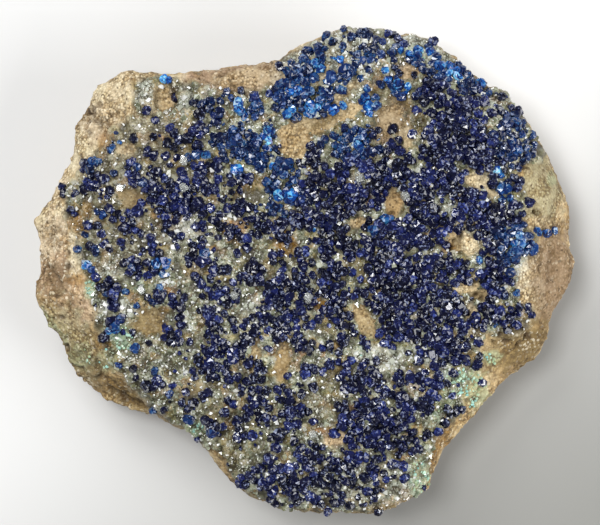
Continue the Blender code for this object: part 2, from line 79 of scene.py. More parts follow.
# The camera's focal length, and the height of the specimen's rim, where the picture is true to size
LENS = 200.0
RIM_LEVEL = 11.0

# The studio in metres and watts. Each lamp: name, where it shines from, width and power. The key light
# is at the upper left, the window nearly overhead, and the broad fill at the right
KEY_LIGHT = (-0.37, 0.55, 0.76)
LAMPS = (
    ("key", KEY_LIGHT, 0.34, 3.2),
    ("window", (-0.2, 0.1, 0.9), 0.22, 3.7),
    ("fill", (0.85, -0.3, 0.5), 0.55, 6.4),
)
LAMP_DISTANCE = 0.75
SURROUNDINGS = 0.15
FLOOR_HALF_WIDTH = 3.0

# The Mix node's sockets: its share, its two colours and their result, and its two numbers
MIX_SHARE, MIX_BELOW, MIX_ABOVE, MIX_RESULT = 0, 6, 7, 2
MIX_FIRST, MIX_SECOND = 2, 3

# The rock's skin: the width of its squares and how far its facets are softened. Then its face, which is
# cut finer: where it begins, and the heights and tilts over which it, or the seat, fades into the sides
ROCK_STEP = 0.82
SOFTENING = 5
FACE_CUTS = 2
FACE_FACING = 0.25
FACE_FLOOR = 7.0
FACE_FADE = 3.0
FACE_TILT = 0.5
SEAT_FADE = 1.6

# A soft-edged oval patch of the face: its middle, half length, half width and strength, and its turn in
# degrees where it has one
Patch = namedtuple("Patch", "x y length width strength turn", defaults=(0,))


def patch_list(*rows):
    """Patches, each from a row of its values."""
    return [Patch(*row) for row in rows]


# The druse with its crystals ends at this line; outside it the rock is bare
FIELD_EDGE = (
    (-24.5, 27.4), (-20.5, 28.4), (-17.0, 27.2), (-13.5, 27.0), (-9.5, 26.2), (-6.0, 26.2), (-4.6, 29.0),
    (-2.5, 31.4), (1.5, 33.0), (4.5, 35.0), (8.5, 35.6), (11.5, 35.0), (13.4, 33.8), (15.5, 34.4),
    (18.0, 33.6), (20.5, 32.0), (22.3, 30.2), (26.0, 27.4), (29.6, 26.4), (31.5, 23.5), (33.6, 20.0),
    (35.6, 17.2), (34.6, 15.8), (31.2, 15.4), (30.2, 13.8), (31.6, 12.0), (32.4, 10.2), (31.2, 8.4),
    (31.6, 6.6), (33.4, 5.2), (33.2, 2.8), (31.2, 1.0), (30.6, -2.0), (31.0, -4.4), (32.8, -6.0),
    (32.4, -8.0), (31.0, -9.6), (28.4, -10.2), (26.4, -9.2), (25.0, -11.0), (25.4, -13.6), (24.0, -15.4),
    (22.4, -17.6), (23.0, -20.4), (20.6, -22.6), (18.8, -24.6), (18.2, -27.2), (18.0, -30.2),
    (16.2, -32.8), (13.0, -34.2), (9.8, -35.4), (4.5, -34.9), (-0.3, -35.2), (-4.0, -34.5), (-8.0, -32.6),
    (-10.8, -30.0), (-11.6, -27.4), (-13.0, -26.0), (-16.2, -25.4), (-16.8, -23.2), (-20.0, -22.0),
    (-22.8, -20.6), (-23.4, -18.6), (-25.6, -17.0), (-26.4, -15.0), (-28.8, -13.2), (-29.6, -10.2),
    (-30.4, -7.2), (-30.8, -4.6), (-31.2, -2.0), (-32.3, 0.6), (-33.6, 3.0), (-33.2, 5.6), (-35.0, 7.6),
    (-34.6, 10.4), (-36.2, 12.2), (-33.4, 13.2), (-32.2, 15.4), (-30.6, 17.0), (-29.2, 18.2),
    (-28.4, 20.4), (-26.0, 21.6), (-24.4, 23.2), (-25.0, 25.2),
)

# Bare sandy rock inside the field
SAND = patch_list(
    (-1.6, 19.2, 3.4, 2.3, 1, 70), (2.2, 21.3, 3.6, 1.2, 0.85, 20), (6.4, 23, 2.4, 1, 1, 42),
    (12.2, 22, 2.8, 1.7, 0.9, 60), (14.6, 19.2, 1.6, 1, 0.7, 90), (5.8, 25.9, 2.6, 0.8, 0.8, 40),
    (15, 28.7, 1.4, 1.2, 0.9), (10, 28.9, 1.6, 0.6, 0.6, 60), (12.8, 9.7, 1.3, 2, 1, -15),
    (8.1, 6.9, 1.5, 0.9, 1), (22.7, 4.1, 2.4, 1.6, 1, -22), (23.4, -2.4, 2.2, 0.8, 1, 10),
    (25.4, -3.4, 1.1, 0.8, 1), (23.8, -5.8, 1, 1, 0.9), (24.6, 13, 2, 1, 0.9, 15),
    (26.6, 11.9, 1.3, 0.7, 0.7, -60), (8.4, -7.2, 2.8, 1.1, 1, -62), (-7.5, -12.6, 2, 0.9, 0.8, 80),
    (-3.4, -13.2, 2.6, 1, 0.9, 82), (-22.8, -7.6, 2.2, 1.8, 0.9, 10), (-25, 10.4, 2.2, 1.4, 0.9, -20),
    (4.2, -24.2, 1.6, 1.1, 0.9, 10), (27.4, -10.4, 2.2, 1.4, 0.5), (-20.9, 25, 1.5, 1.9, 1, -10),
    (-8.5, 28, 5, 1.4, 1, 4), (-26.2, 17.6, 1.6, 1, 0.7, 10), (-18.4, 22.6, 2.2, 0.8, 0.6, 8),
    (2.6, 28.4, 1.8, 0.55, 0.8, 60), (-16.6, -16.8, 1.8, 1.3, 0.5),
)

# Colours that lie on the rock and in the druse, by name. Most are the rock's own; the cream on the upper
# left margins is partly painted light where they face the key light, and the brown on the right margin, its
# crease and the right rim of the pit at the brow is partly painted shade
STAINS = {
    "cream": patch_list(
        # Those on the upper left margins are partly painted light, where the rock faces the key light
        (-25, 20, 6, 4, 0.3), (-31, 26.4, 3.6, 1.4, 1, 50), (-26.6, 26, 1.4, 3.4, 1),
        (-36.6, 13, 1, 4, 0.9, -30), (-35, 15, 1.4, 4, 0.9, -24), (-29.5, 24.6, 4.6, 3.6, 0.8, 60),
        (-32.6, 17.6, 2.2, 3.6, 1, -10), (-33.4, 3, 1.2, 3.4, 1), (-22.4, 24.6, 1.2, 2.4, 0.7, -30),
        (-37, 6.4, 2.4, 5, 0.7, -20), (-27.4, 29, 4, 1.2, 0.8, -10), (6.2, 26, 3, 1.1, 0.8, 45),
        (24, 4.1, 1.6, 1.9, 1), (22.6, -2.2, 1.4, 0.8, 0.9), (24.9, 13, 2.2, 1.2, 0.8, 10),
        (34.6, 10.4, 3.6, 5, 0.3, -20), (33.2, -1.6, 1.6, 5, 0.4), (-35.8, 9.6, 1.4, 1.4, 0.5),
        (18.4, 33.4, 3.2, 0.8, 0.6, -30), (-38.8, 8, 1, 3, 0.7, -30), (-18.6, 27.4, 1.4, 1.8, 0.6),
    ),
    "pink": patch_list(
        (-9.5, 28.2, 6.6, 2.4, 1, 4), (4.2, -24.2, 1.8, 1.3, 0.9), (12.6, 21.8, 4, 2.8, 0.9, 60),
        (14.6, 29.2, 2, 1.6, 0.9), (36.6, -1, 3.2, 6.2, 0.7, 6), (-37, 2, 2.6, 6.4, 0.7),
        (-33.6, -4.6, 3, 4, 0.6, 20), (-36.4, 12.4, 1.6, 2.6, 0.5, -30), (-30.2, 21.6, 3, 3, 0.6),
        (-27, 27, 2, 2.6, 0.4), (-15.8, 28.4, 2.6, 0.9, 0.7), (10.6, 24.4, 1.2, 0.8, 0.6),
        (-6.3, 22.2, 0.8, 0.8, 0.9), (-24, -12.6, 1.2, 1.8, 0.5),
    ),
    "brown": patch_list(
        # Those on the right margin, in its crease near x = 36 and at the right rim of the pit at the brow
        # (-19.6, 25.2) are partly painted shade
        (-36, -0.6, 2, 2.4, 0.6), (33, -12, 4.6, 2, 0.6, 40), (-9.5, 28.2, 6.6, 2.4, 0.6, 4),
        (25.2, -3.8, 0.9, 0.6, 0.9), (30.6, -9, 2.6, 1.4, 1), (36.2, 0.6, 0.8, 2.4, 1, -8),
        (34.6, -11.4, 4, 3.4, 1, 40), (36.4, -2, 4, 9, 0.85, 6), (34.8, 12, 3.6, 5.4, 0.5, -20),
        (-24, 12, 8, 11, 0.5), (20.4, -28.4, 1.4, 4, 0.7, -10), (38.4, 1, 1.6, 4.4, 0.5),
        (-31.6, 22.4, 1.6, 1.2, 0.6), (-19.6, 25.2, 0.5, 2, 0.8, -10), (-25, 10.6, 2.4, 1.6, 0.7, -20),
        (30.4, -9.4, 1.8, 1.2, 0.6), (-31.4, -16.6, 2.6, 1.2, 0.6, -30),
    ),
    "rust": patch_list(
        (-10.4, 5.4, 1.4, 1.4, 0.9), (-3, 4, 1.7, 1.8, 1, 30), (1.8, -5, 1, 1.5, 1, 30),
        (-3.4, -13.6, 1.2, 2.6, 0.3, -6), (-33, 7, 1.4, 1.8, 0.8, 20), (-31.6, 9.5, 1, 0.8, 0.7),
        (12.6, 9.4, 1.2, 1.6, 0.45), (-29.2, -10.8, 0.9, 0.9, 0.7), (-33.4, -1.4, 1.4, 1, 0.6),
        (-15.6, 0, 2, 1, 0.5), (-29, 18.6, 1.2, 1.6, 0.6), (-15.2, 6.2, 0.8, 1, 0.7),
        (21, 3, 0.8, 0.8, 0.8), (23, -1.6, 0.6, 0.5, 0.6), (19.6, -26, 0.9, 4.6, 0.8, -14),
        (12.4, -34.2, 3.2, 0.8, 0.7, 20), (11, -31.4, 0.8, 0.7, 0.8), (19.2, -17.2, 0.6, 0.6, 0.7),
    ),
    "olive": patch_list(
        (-22.6, -7.6, 2.6, 2.2, 1), (-25, -19.2, 3.6, 1.2, 1, -32), (16.4, 21.3, 1.2, 1.2, 0.9),
        (-7.2, 12, 0.9, 2, 0.9), (-2.6, 2, 2, 1.4, 0.6), (8, 0.2, 1.4, 1.8, 0.7, 20),
        (2.4, -7.6, 0.9, 1.6, 0.7), (-15.6, -17.6, 2.6, 1.6, 0.6), (-31, -11, 2.4, 3, 0.5),
        (-16.6, 12.4, 1.2, 1, 0.8), (-11.8, -23.8, 1.6, 1.2, 0.6), (4.4, 12, 2.4, 0.8, 0.7),
        (21.6, 3.8, 0.9, 1.2, 0.6), (25.3, -3.7, 1, 0.7, 0.6), (2.2, 21.3, 1.8, 0.5, 0.7, 20),
        (8.4, -7.2, 2.6, 1.1, 0.55, -62), (12.2, 22.4, 3.4, 2.6, 0.45, 60), (12, 25.4, 2.2, 2.2, 0.6),
        (33, -11, 4, 3, 0.9, 40), (-25, 10.4, 2.4, 1.6, 0.7, -20), (-3.4, -13.2, 2.8, 1.2, 0.6, 82),
        (-7.5, -12.6, 2.2, 1.1, 0.5, 80), (2, -19.4, 2.6, 2, 0.6), (4, -16, 2.6, 1.6, 0.5),
        (-12, -20, 2.6, 2, 0.5, 30), (-10, -27, 2, 2, 0.5), (34.4, 12, 4, 5, 0.25, -20),
        (-36, -6, 3, 5, 0.3, 20), (20.4, -27, 2, 5, 0.4, -10), (29, -11.6, 4.6, 2.4, 0.8, 35),
        (-32, -14.4, 8, 2.2, 0.55, -42),
    ),
    "green": patch_list(
        (22.6, -15.6, 2, 1.2, 1, -20), (24.6, -17.6, 3.4, 2, 0.9, -50), (16.6, -30.2, 1.6, 2.8, 0.9),
        (-31.3, -2.8, 0.7, 1.3, 1), (-26.6, -9.8, 1.6, 1.5, 0.9), (-16, -22.8, 1.6, 0.9, 1, -20),
        (36.6, 14, 1.2, 2.2, 0.8, -30), (34.4, 12, 3.4, 4.6, 0.35, -20), (-37.4, -8.4, 1.2, 3.8, 1, 40),
        (8.6, -11, 1.2, 1.6, 0.5), (27, -12.6, 1.4, 1, 0.8), (16.4, 31.4, 2.6, 1.2, 0.7, -30),
        (-35, -10.4, 4, 6, 0.4, 40), (-28.8, -13, 1.8, 1.6, 0.6), (-33, -12.6, 2.4, 1.8, 0.8, 40),
        (20, -19.4, 1.4, 2.8, 0.5, -20), (-24.4, -2, 1.4, 1.2, 0.5),
    ),
    "frost": patch_list(
        (3, 30.6, 8, 4, 0.6, 10), (9, -31, 8, 3, 0.4), (-17.2, 5.6, 2.4, 1.6, 0.9, 10),
        (8.4, 13.4, 2, 0.9, 0.8), (29.4, 8.2, 1.8, 0.5, 1, -52), (31.4, -0.6, 0.9, 2.4, 0.8),
        (31.8, 2, 0.6, 0.6, 0.9), (24.5, 9.4, 0.6, 0.5, 0.9), (18.6, 9.8, 0.5, 0.8, 0.8),
        (23.4, -5.2, 0.9, 0.8, 0.9), (13.1, 2.6, 0.8, 0.6, 0.8), (11.2, -1.2, 0.6, 0.8, 0.7),
        (10.6, -12.6, 3.2, 1.6, 0.9, -10), (17.8, -12.6, 2.8, 0.9, 1, -48), (-28.6, 0.2, 1.8, 1, 0.7),
        (-26.4, -5.4, 2, 0.9, 0.9, -20), (-29, -5, 0.9, 0.8, 0.9), (15.8, 12.8, 0.9, 1.8, 0.9),
        (21.4, 9, 1.2, 1, 0.8), (-23.4, 26.2, 1.2, 1.6, 0.7), (-17.4, 24.8, 1, 2, 0.6),
        (1.6, -19.4, 1.8, 1.4, 0.25), (0.2, -1.8, 1.6, 1.2, 0.7), (16.6, 33.6, 2, 0.8, 0.7, -20),
        (17.6, 31.4, 4.2, 1.5, 0.9, -35), (24.6, 26.4, 3.6, 0.8, 0.6, -38), (12.6, 15.2, 0.8, 1, 0.9),
        (-7.6, -6, 2.4, 1.8, 0.5, 40),
    ),
}

# Where kinoite stands thicker or thinner than usual, in the crusts and between them
THICK = patch_list(
    (-7.5, 18.6, 4.6, 2.6, 0.5, 30), (-10.6, 24, 2, 1.6, 0.5), (-4.6, 12, 1.6, 3.4, 0.9),
    (2, -31, 11, 4, 0.3, -10), (24, 21, 8, 6, 1, -30), (12, -19, 6, 5, 0.35), (-20, 18.6, 2, 1.6, 0.8),
    (-17, 7.4, 9, 2.8, 0.6), (-22.4, 12.6, 3, 2.4, 0.7), (17.6, 12, 2.8, 3.2, 1.4), (27.6, 8, 3, 9, 1),
    (12.4, 5.4, 2.8, 1.8, 1), (12.6, 1.6, 2.8, 2.8, 1), (3, 2.4, 4, 2.4, 1), (-12.6, -2.6, 2.6, 2.4, 0.8),
    (5.4, -2.4, 4.6, 2, 0.9), (-2.6, -6.4, 2.6, 3.6, 0.9), (13, -6.4, 2.6, 3.6, 1),
    (-12.6, -12.6, 2.6, 3.4, 1), (3.6, -12.6, 3.4, 1.8, 0.4), (-2.4, -17.6, 2.2, 2.6, 0.9),
    (-7.6, -20.6, 3, 3.6, 0.5), (18.6, 20, 1.6, 3, 1), (8.4, 18.6, 3, 2.4, 0.9), (12.6, 12.6, 2, 2, 0.7),
    (12.4, 27.6, 2, 1.6, 0.9), (-8, 17.6, 2.4, 2, 0.9), (-17.6, 12.4, 2.2, 2.2, 0.7),
    (-27.4, -3, 1.8, 2.2, 0.7), (-12.4, -7.6, 2.2, 2.4, 0.7), (-3, -8.6, 2.4, 2.4, 1),
    (7.6, -14.4, 2.4, 1.4, 0.9), (17.6, -14.4, 1.8, 1.6, 0.9), (-3.4, -23.4, 2.2, 1.8, 0.3),
    (-3, -33, 2.4, 1.4, 0.9), (-7.6, 12.6, 2, 2.4, 0.6), (12.6, 7, 1.8, 1.4, 0.8),
    (-12.6, 22.4, 2.2, 2, 0.7), (-2.4, 7, 2.2, 2.6, 0.8), (-12.6, 12.6, 2.2, 2.2, 0.5),
    (-12.6, -14.6, 2.4, 1.6, 1), (31.4, 21.6, 1.4, 1.6, 0.9), (-17.4, -12.4, 2.2, 2.2, 0.5),
    (27.4, -7, 2, 1.6, 0.8), (22.6, -10.4, 2, 1.8, 0.7), (-1.6, -2.6, 2, 2, 0.7),
    (23.4, 28, 2, 1, 0.8, -30), (2.4, -27.4, 2.4, 2, 0.7), (-22.6, 3, 2.2, 2.2, 0.6),
    (-7.4, -23, 2.2, 2, 0.6), (12.4, 6, 1.6, 1.4, 1.6), (17.4, -12.6, 2, 1.6, 1.4, -30),
    (-17.6, -17.6, 2.2, 2.2, 0.6), (-7.6, 22.4, 2.4, 2.4, 1.2), (-12.6, -12.6, 2.4, 2.4, 1.4),
    (-7.6, -12, 1.6, 2.4, 0.8), (-7.6, 7.4, 2.4, 2.2, 1.2), (-17.4, -18, 2, 2, 0.5),
    (6.2, -8.6, 1.2, 1.2, 0.8), (9.4, -12, 0.7, 0.7, 0.8),
)
THIN = patch_list(
    (-30, 0, 4.4, 15, 0.4), (-24.5, -14, 6, 5.6, 0.8), (-28, -13, 3, 4, 1.2), (-24, 23, 5.4, 4.4, 0.9),
    (-24.4, 17, 3, 3, 0.4), (32, 11.6, 1.8, 1.6, 0.9), (-2, 4.4, 2.6, 1.4, 0.4), (0.6, -17.4, 4, 2.2, 0.5),
    (11, -12.4, 4.2, 1.7, 0.7, -8), (17.6, -12.8, 3, 0.7, 0.6, -48), (23.4, -15.4, 2.8, 2.6, 0.7, -20),
    (15.8, -30.6, 2.6, 3.4, 0.8), (-17, 5.6, 1.8, 1, 0.6, 10), (7.6, 13.3, 2.6, 1, 0.7, -8),
    (-7, 12.2, 1, 2.4, 0.8), (-12, -25.4, 2.6, 1.8, 0.5), (-22.4, -18, 2.4, 2.6, 0.7, -30),
    (8.2, 0.4, 1.4, 1.9, 0.6, 20), (-9, 2.6, 3.4, 2, 0.3), (16.4, 21.4, 1.4, 1.4, 0.95),
    (2.8, 15.8, 1.6, 1.2, 0.7), (2, -31, 11, 5, 0.25), (-22.6, 2.6, 2.4, 2.4, 0.4),
    (-2.4, 17.4, 2.2, 2, 0.4), (8, -28.6, 6, 2, 0.3), (12.4, -33, 4, 2.4, 0.7, 20), (22, 2.6, 3, 1.8, 0.4),
    (12.4, 17.4, 2.4, 2, 0.4), (7.4, -17.6, 2.4, 2.2, 0.35), (17.4, -17.6, 2, 2.2, 0.35),
    (-2.4, -22.6, 2.4, 2.2, 0.4), (12.6, -27.6, 2.6, 2.4, 0.75), (-2.6, -27.6, 2.4, 2.2, 0.4),
    (2.6, 2.6, 2.4, 2.4, 0.55), (22.6, -2.6, 2.4, 2.2, 0.4), (22.6, -7.6, 2.4, 2.2, 0.45),
    (7.6, -2.6, 2.4, 2.2, 0.4), (2.6, 12.6, 2.4, 2.2, 0.35), (33.4, 8.6, 2, 4, 0.8),
    (-13, 27.4, 4, 1.4, 0.7), (12.6, 22.4, 3.2, 3, 0.9), (2, 27.6, 2.6, 2, 0.6, 30),
    (5, 32.4, 5.4, 1.8, 0.4), (-22.4, -7.4, 2.4, 2.2, 0.9), (-17.6, -2.6, 2.4, 2.2, 0.4),
    (-8, -2.4, 2.6, 2.2, 0.5), (6.6, -32.8, 2.6, 1.8, 0.6), (-18, 22.6, 2.6, 2.2, 0.8),
    (-7.4, 22.6, 2.4, 2.2, 0.5), (-2.4, 22.6, 2.2, 2, 0.5), (-27.6, -7.6, 2.4, 2.4, 0.9),
    (17, 31.8, 3.4, 1, 0.6, -35), (2.4, -17.4, 2.4, 2.4, 1.1), (17.6, -22.6, 2.6, 2.4, 0.8),
    (12.6, -17.4, 2.2, 2.2, 0.5), (-12.6, 7.4, 2.2, 2.2, 0.6), (-7.4, 7.6, 2, 2, 0.4),
    (7.6, 7.6, 2.2, 2.2, 0.7), (12, 17, 2, 2, 0.6), (7.6, -27.4, 2.4, 2.2, 0.5),
    (27.4, -7.6, 1.8, 1.8, 0.4), (-17.4, -17.6, 2.4, 2.2, 0.5), (-12.6, -17.4, 2, 2.2, 0.5),
    (-17.4, -22, 2.4, 2, 0.9), (2.4, 32, 2.4, 1.8, 0.6), (12.4, -33, 2.4, 2, 1.3),
    (7.6, 27.4, 2.2, 2, 0.4), (-17.6, -12.6, 2, 2.2, 0.4), (20.4, 9.4, 2.2, 0.8, 1.2),
    (15, 3, 1.5, 0.6, 1.1), (31, -0.4, 0.7, 2.4, 1.2), (23.8, -5.8, 1.1, 1.1, 1.2),
    (28.4, -3.4, 1.2, 1.4, 0.6), (24, 0.2, 0.9, 0.5, 1.1), (17, -6.4, 1.4, 0.5, 1.1, 20),
    (18.6, 5.6, 0.5, 1, 1.1), (28, 24.4, 1.8, 0.4, 1.2, -60), (-6.4, 22.4, 1, 0.8, 0.9),
    (12.6, 32.6, 2.6, 2, 0.2), (-17.4, 27.4, 2.6, 2, 0.9), (-12.6, 22.6, 2.6, 2, 0.5),
    (27, 22.4, 2.2, 2.2, 0.6), (-32.8, 8, 2.2, 5.4, 1), (7.6, 22.6, 2.2, 2, 0.5),
    (-22.8, 7.4, 2, 2.2, 0.4), (-30.6, 1.6, 3, 2.8, 0.6), (-22.6, -2.6, 2.2, 2.2, 0.5),
    (-12.4, -7.6, 2.2, 2.2, 0.3), (-2.6, -12.6, 2.4, 2.2, 0.8), (-12.6, -18, 2.4, 2.2, 0.5),
    (-8, -27.6, 3, 2.2, 0.4), (-7.6, -23.6, 2.2, 1.6, 0.4), (16.6, -23.4, 2.2, 2.2, 0.5),
)

# Where the bare rock is rough and broken, not worn smooth
ROUGH = patch_list(
    (-36.4, 1, 3.4, 8.5, 1), (-31.4, 22.6, 2.4, 2.2, 1), (-34.4, -12, 4.4, 4.6, 0.8, 40),
    (-27.6, -16.6, 3.6, 1.6, 0.7, -30), (30.8, -9.2, 3.2, 2.4, 1), (21, -27, 2.6, 6, 0.7, -16),
    (-13.6, 28.2, 3, 1.2, 0.9), (25, -18, 3, 2.4, 0.6, -40),
)

# Cracks in the bare rock, cut in and painted dark: the dark is painted shade, and those at the pit by the
# brow paint the shadow on its right rim
CRACKS = patch_list(
    (-19.3, 25.9, 0.35, 1.2, 1, 14), (-19.4, 24, 0.35, 1, 1, -28), (-20.4, 23.1, 0.7, 0.25, 0.7, -10),
    (-32.2, 23, 0.9, 0.3, 0.8, 10), (-30.6, 21.6, 0.8, 0.25, 0.7, -20), (-30.4, 24.2, 0.6, 0.25, 0.6, 30),
    (-27.7, -18, 1.4, 0.4, 1, -34), (-25, -19.4, 1.8, 0.55, 1, -27), (-30.1, -14.6, 0.25, 1.6, 0.8, 12),
    (-36.6, -1.4, 0.25, 1.3, 0.8, 30), (-37.4, 4.6, 0.25, 1.2, 0.6, -30), (-31.2, 23.4, 0.5, 1, 0.8, 20),
    (-14.6, 27.8, 1.6, 0.25, 0.8, -22), (-12.2, 28.6, 1, 0.22, 0.7, 20), (29, -8.4, 0.5, 0.3, 0.9, 30),
    (31.4, -8.4, 0.5, 0.25, 0.8, -20), (30.4, -8, 0.4, 0.9, 0.9, 30), (32, -9.8, 0.3, 0.7, 0.8, -30),
    (29.2, -10.2, 0.6, 0.3, 0.8, 10), (28.2, -9.2, 0.4, 0.25, 0.8, 40), (30.8, -10.6, 0.5, 0.25, 0.8, 60),
    (27.4, -10.6, 0.25, 0.4, 0.7, 20), (33.6, 8.4, 0.35, 0.3, 0.9), (16.7, 21.4, 0.5, 0.5, 1),
    (31, 15, 0.8, 0.25, 0.7), (21, 3.1, 0.25, 0.4, 0.9), (22.2, 5, 0.3, 0.4, 0.8),
    (22.4, 2.6, 0.5, 0.25, 0.8, 20), (25.5, -3.9, 0.25, 0.3, 0.9), (24.8, -3.3, 0.3, 0.2, 0.8, 30),
    (21.6, 4.2, 0.3, 0.2, 0.8, 30), (-32.6, 22.3, 0.35, 0.25, 0.9, 20), (-31.7, 21.8, 0.25, 0.35, 0.9),
    (-30.9, 22.6, 0.4, 0.25, 0.9, 40), (-30.1, 22.9, 0.25, 0.25, 0.8), (-29.3, 22, 0.35, 0.2, 0.9, -30),
    (-28.5, 22.6, 0.25, 0.3, 0.7), (-30, 20.9, 0.3, 0.25, 0.8), (-31.9, 20.7, 0.25, 0.3, 0.8),
    (-33.2, 21, 0.2, 0.35, 0.8, 20), (-29, 24.8, 0.2, 0.5, 0.5, 30), (-34.2, 16.4, 0.2, 0.4, 0.6, -30),
    (-33, 15, 0.25, 0.25, 0.6), (-16.2, 28.4, 0.35, 0.25, 0.8), (-17.4, 27.8, 0.25, 0.3, 0.8),
    (-13.2, 27.4, 0.3, 0.25, 0.8, 20), (-10.6, 28, 0.25, 0.25, 0.7), (12.4, 8.2, 0.5, 0.25, 0.6),
    (24.4, 5.2, 0.25, 0.4, 0.6),
)

# Steps, creases and pits too fine for the blank, then low ridges. Strength is their depth or height in mm
HOLLOWS = patch_list(
    (-20.6, 25, 1.3, 1.7, 1.4), (12.6, 21.8, 3, 2, 0.4, 60), (-27.6, 24.2, 1.6, 2.4, 0.5, 10),
    (-26, -18.9, 3.2, 0.7, 0.5, -29), (-30.2, -14.6, 0.4, 1.6, 0.7, 10), (16.6, 21.4, 0.7, 0.7, 1),
    (21.3, 3.5, 0.8, 1.1, 0.6), (25.2, -3.7, 0.9, 0.6, 0.5, -20), (36.2, 0.6, 0.8, 2.4, 0.9, -8),
    (-36.6, -1.6, 0.8, 1.6, 0.8, 20), (-37.2, 5.4, 0.6, 1.4, 0.5, -30), (-25, 10.4, 1.6, 1, 0.4, -20),
    (-14.4, 28, 1.8, 0.4, 0.7, -20), (33.6, 8.6, 0.5, 0.4, 0.6), (12.8, 9.7, 0.9, 1.5, 0.5, -15),
    (-22.6, -7.6, 1.8, 1.4, 0.4, 10),
)
CRESTS = patch_list(
    (-25.4, 24.8, 0.5, 3.2, 0.9, -4), (-32.2, 18.6, 1.2, 2, 0.6, -10), (-26.8, -20.2, 4, 0.6, 0.8, -30),
    (16.6, 21.4, 1.3, 1.3, 0.5), (23.6, 4.2, 1.1, 1.2, 0.6), (23.8, -2.4, 1.3, 0.6, 0.5, -15),
    (38, 0.4, 0.9, 3.6, 0.4, 4), (-22.4, 24.7, 0.5, 1.2, 0.5), (-25.6, 28.2, 2, 0.8, 0.5, -10),
    (35, 10, 0.7, 2.4, 0.3, -20),
)

# Where the kinoite is thin and light comes through it: azure, or else royal blue
AZURE = patch_list(
    (-1.5, 26.1, 0.9, 0.8, 1), (1.9, 29.3, 0.8, 0.7, 0.6), (4.6, 30.9, 0.8, 0.8, 1),
    (5.7, 33.9, 0.8, 0.7, 0.5), (5.7, 24.9, 0.7, 1, 1), (3.9, 23.6, 1, 0.6, 1, 10),
    (0.9, 23.8, 1, 0.8, 0.9), (-2.2, 23.3, 0.9, 0.8, 0.7), (9, 23.6, 0.7, 2, 1, -8),
    (11.7, 28.3, 0.8, 0.9, 1), (14.3, 26.3, 0.9, 0.6, 1), (-9.8, 23.8, 0.9, 0.8, 0.9),
    (-8.6, 22.4, 0.6, 0.7, 0.6), (-5.4, 19.3, 0.8, 1.4, 1, 10), (-7.4, 19.8, 0.6, 0.6, 0.4),
    (-5.2, 14.9, 0.6, 1.2, 1), (-10, 14.5, 0.5, 1.2, 0.8), (-3.8, 13.2, 0.6, 0.7, 0.6),
    (-2.4, 11, 0.6, 0.8, 1), (-3.9, 10.5, 0.9, 0.5, 1), (-2.8, 9.1, 0.6, 0.7, 0.5),
    (6.9, 18.2, 0.8, 1.2, 0.5), (10.2, 18.4, 0.6, 0.6, 0.4), (1.1, 5.8, 0.5, 0.5, 0.6),
    (10.2, 5.8, 0.6, 0.6, 0.5), (12.4, 7.8, 1.2, 0.5, 0.6), (17.4, 31.2, 1.4, 0.9, 0.8, -30),
    (14.4, 31.2, 0.9, 0.7, 0.9, -30), (20, 29.6, 1.2, 0.7, 0.8, -30), (21.4, 28.7, 1.6, 0.7, 0.7, -25),
    (26, 26.5, 1.6, 0.5, 0.6, -25), (31.2, 17.7, 0.7, 0.8, 0.9), (28.9, 20.5, 0.6, 0.6, 0.5),
    (27.6, 14.5, 0.7, 0.9, 0.8), (28.9, 11.4, 1, 1.4, 0.3, 30), (31.2, 4.3, 0.9, 0.8, 0.6),
    (25.5, 1.9, 0.6, 0.6, 0.7), (29.6, -3.7, 1.2, 0.7, 0.5, 20), (27.7, -8.3, 0.7, 0.7, 0.5),
    (-21, 0.6, 1.2, 0.7, 1, 15), (-28.1, -8.7, 0.9, 0.7, 0.4), (-27.2, 19.5, 0.6, 1.1, 0.5),
    (-28.4, 17.5, 0.7, 0.6, 0.4), (-14.9, 17.2, 0.7, 0.6, 0.6), (-14.3, 2.6, 0.6, 0.6, 0.3),
)
ROYAL = patch_list(
    (3, 28, 8, 6, 0.4, 20), (-8, 20, 5, 5, 0.3, 20), (20, 29.6, 8, 2.2, 0.3, -24),
    (31, 18, 3, 4.6, 0.25, 20), (-4, 12.4, 3, 4, 0.3), (30.4, 3.6, 2.6, 3, 0.4), (10, 25, 4.2, 3, 0.5),
    (6, 18.4, 3.6, 2, 0.4), (-13, 25, 4, 2, 0.2),
)

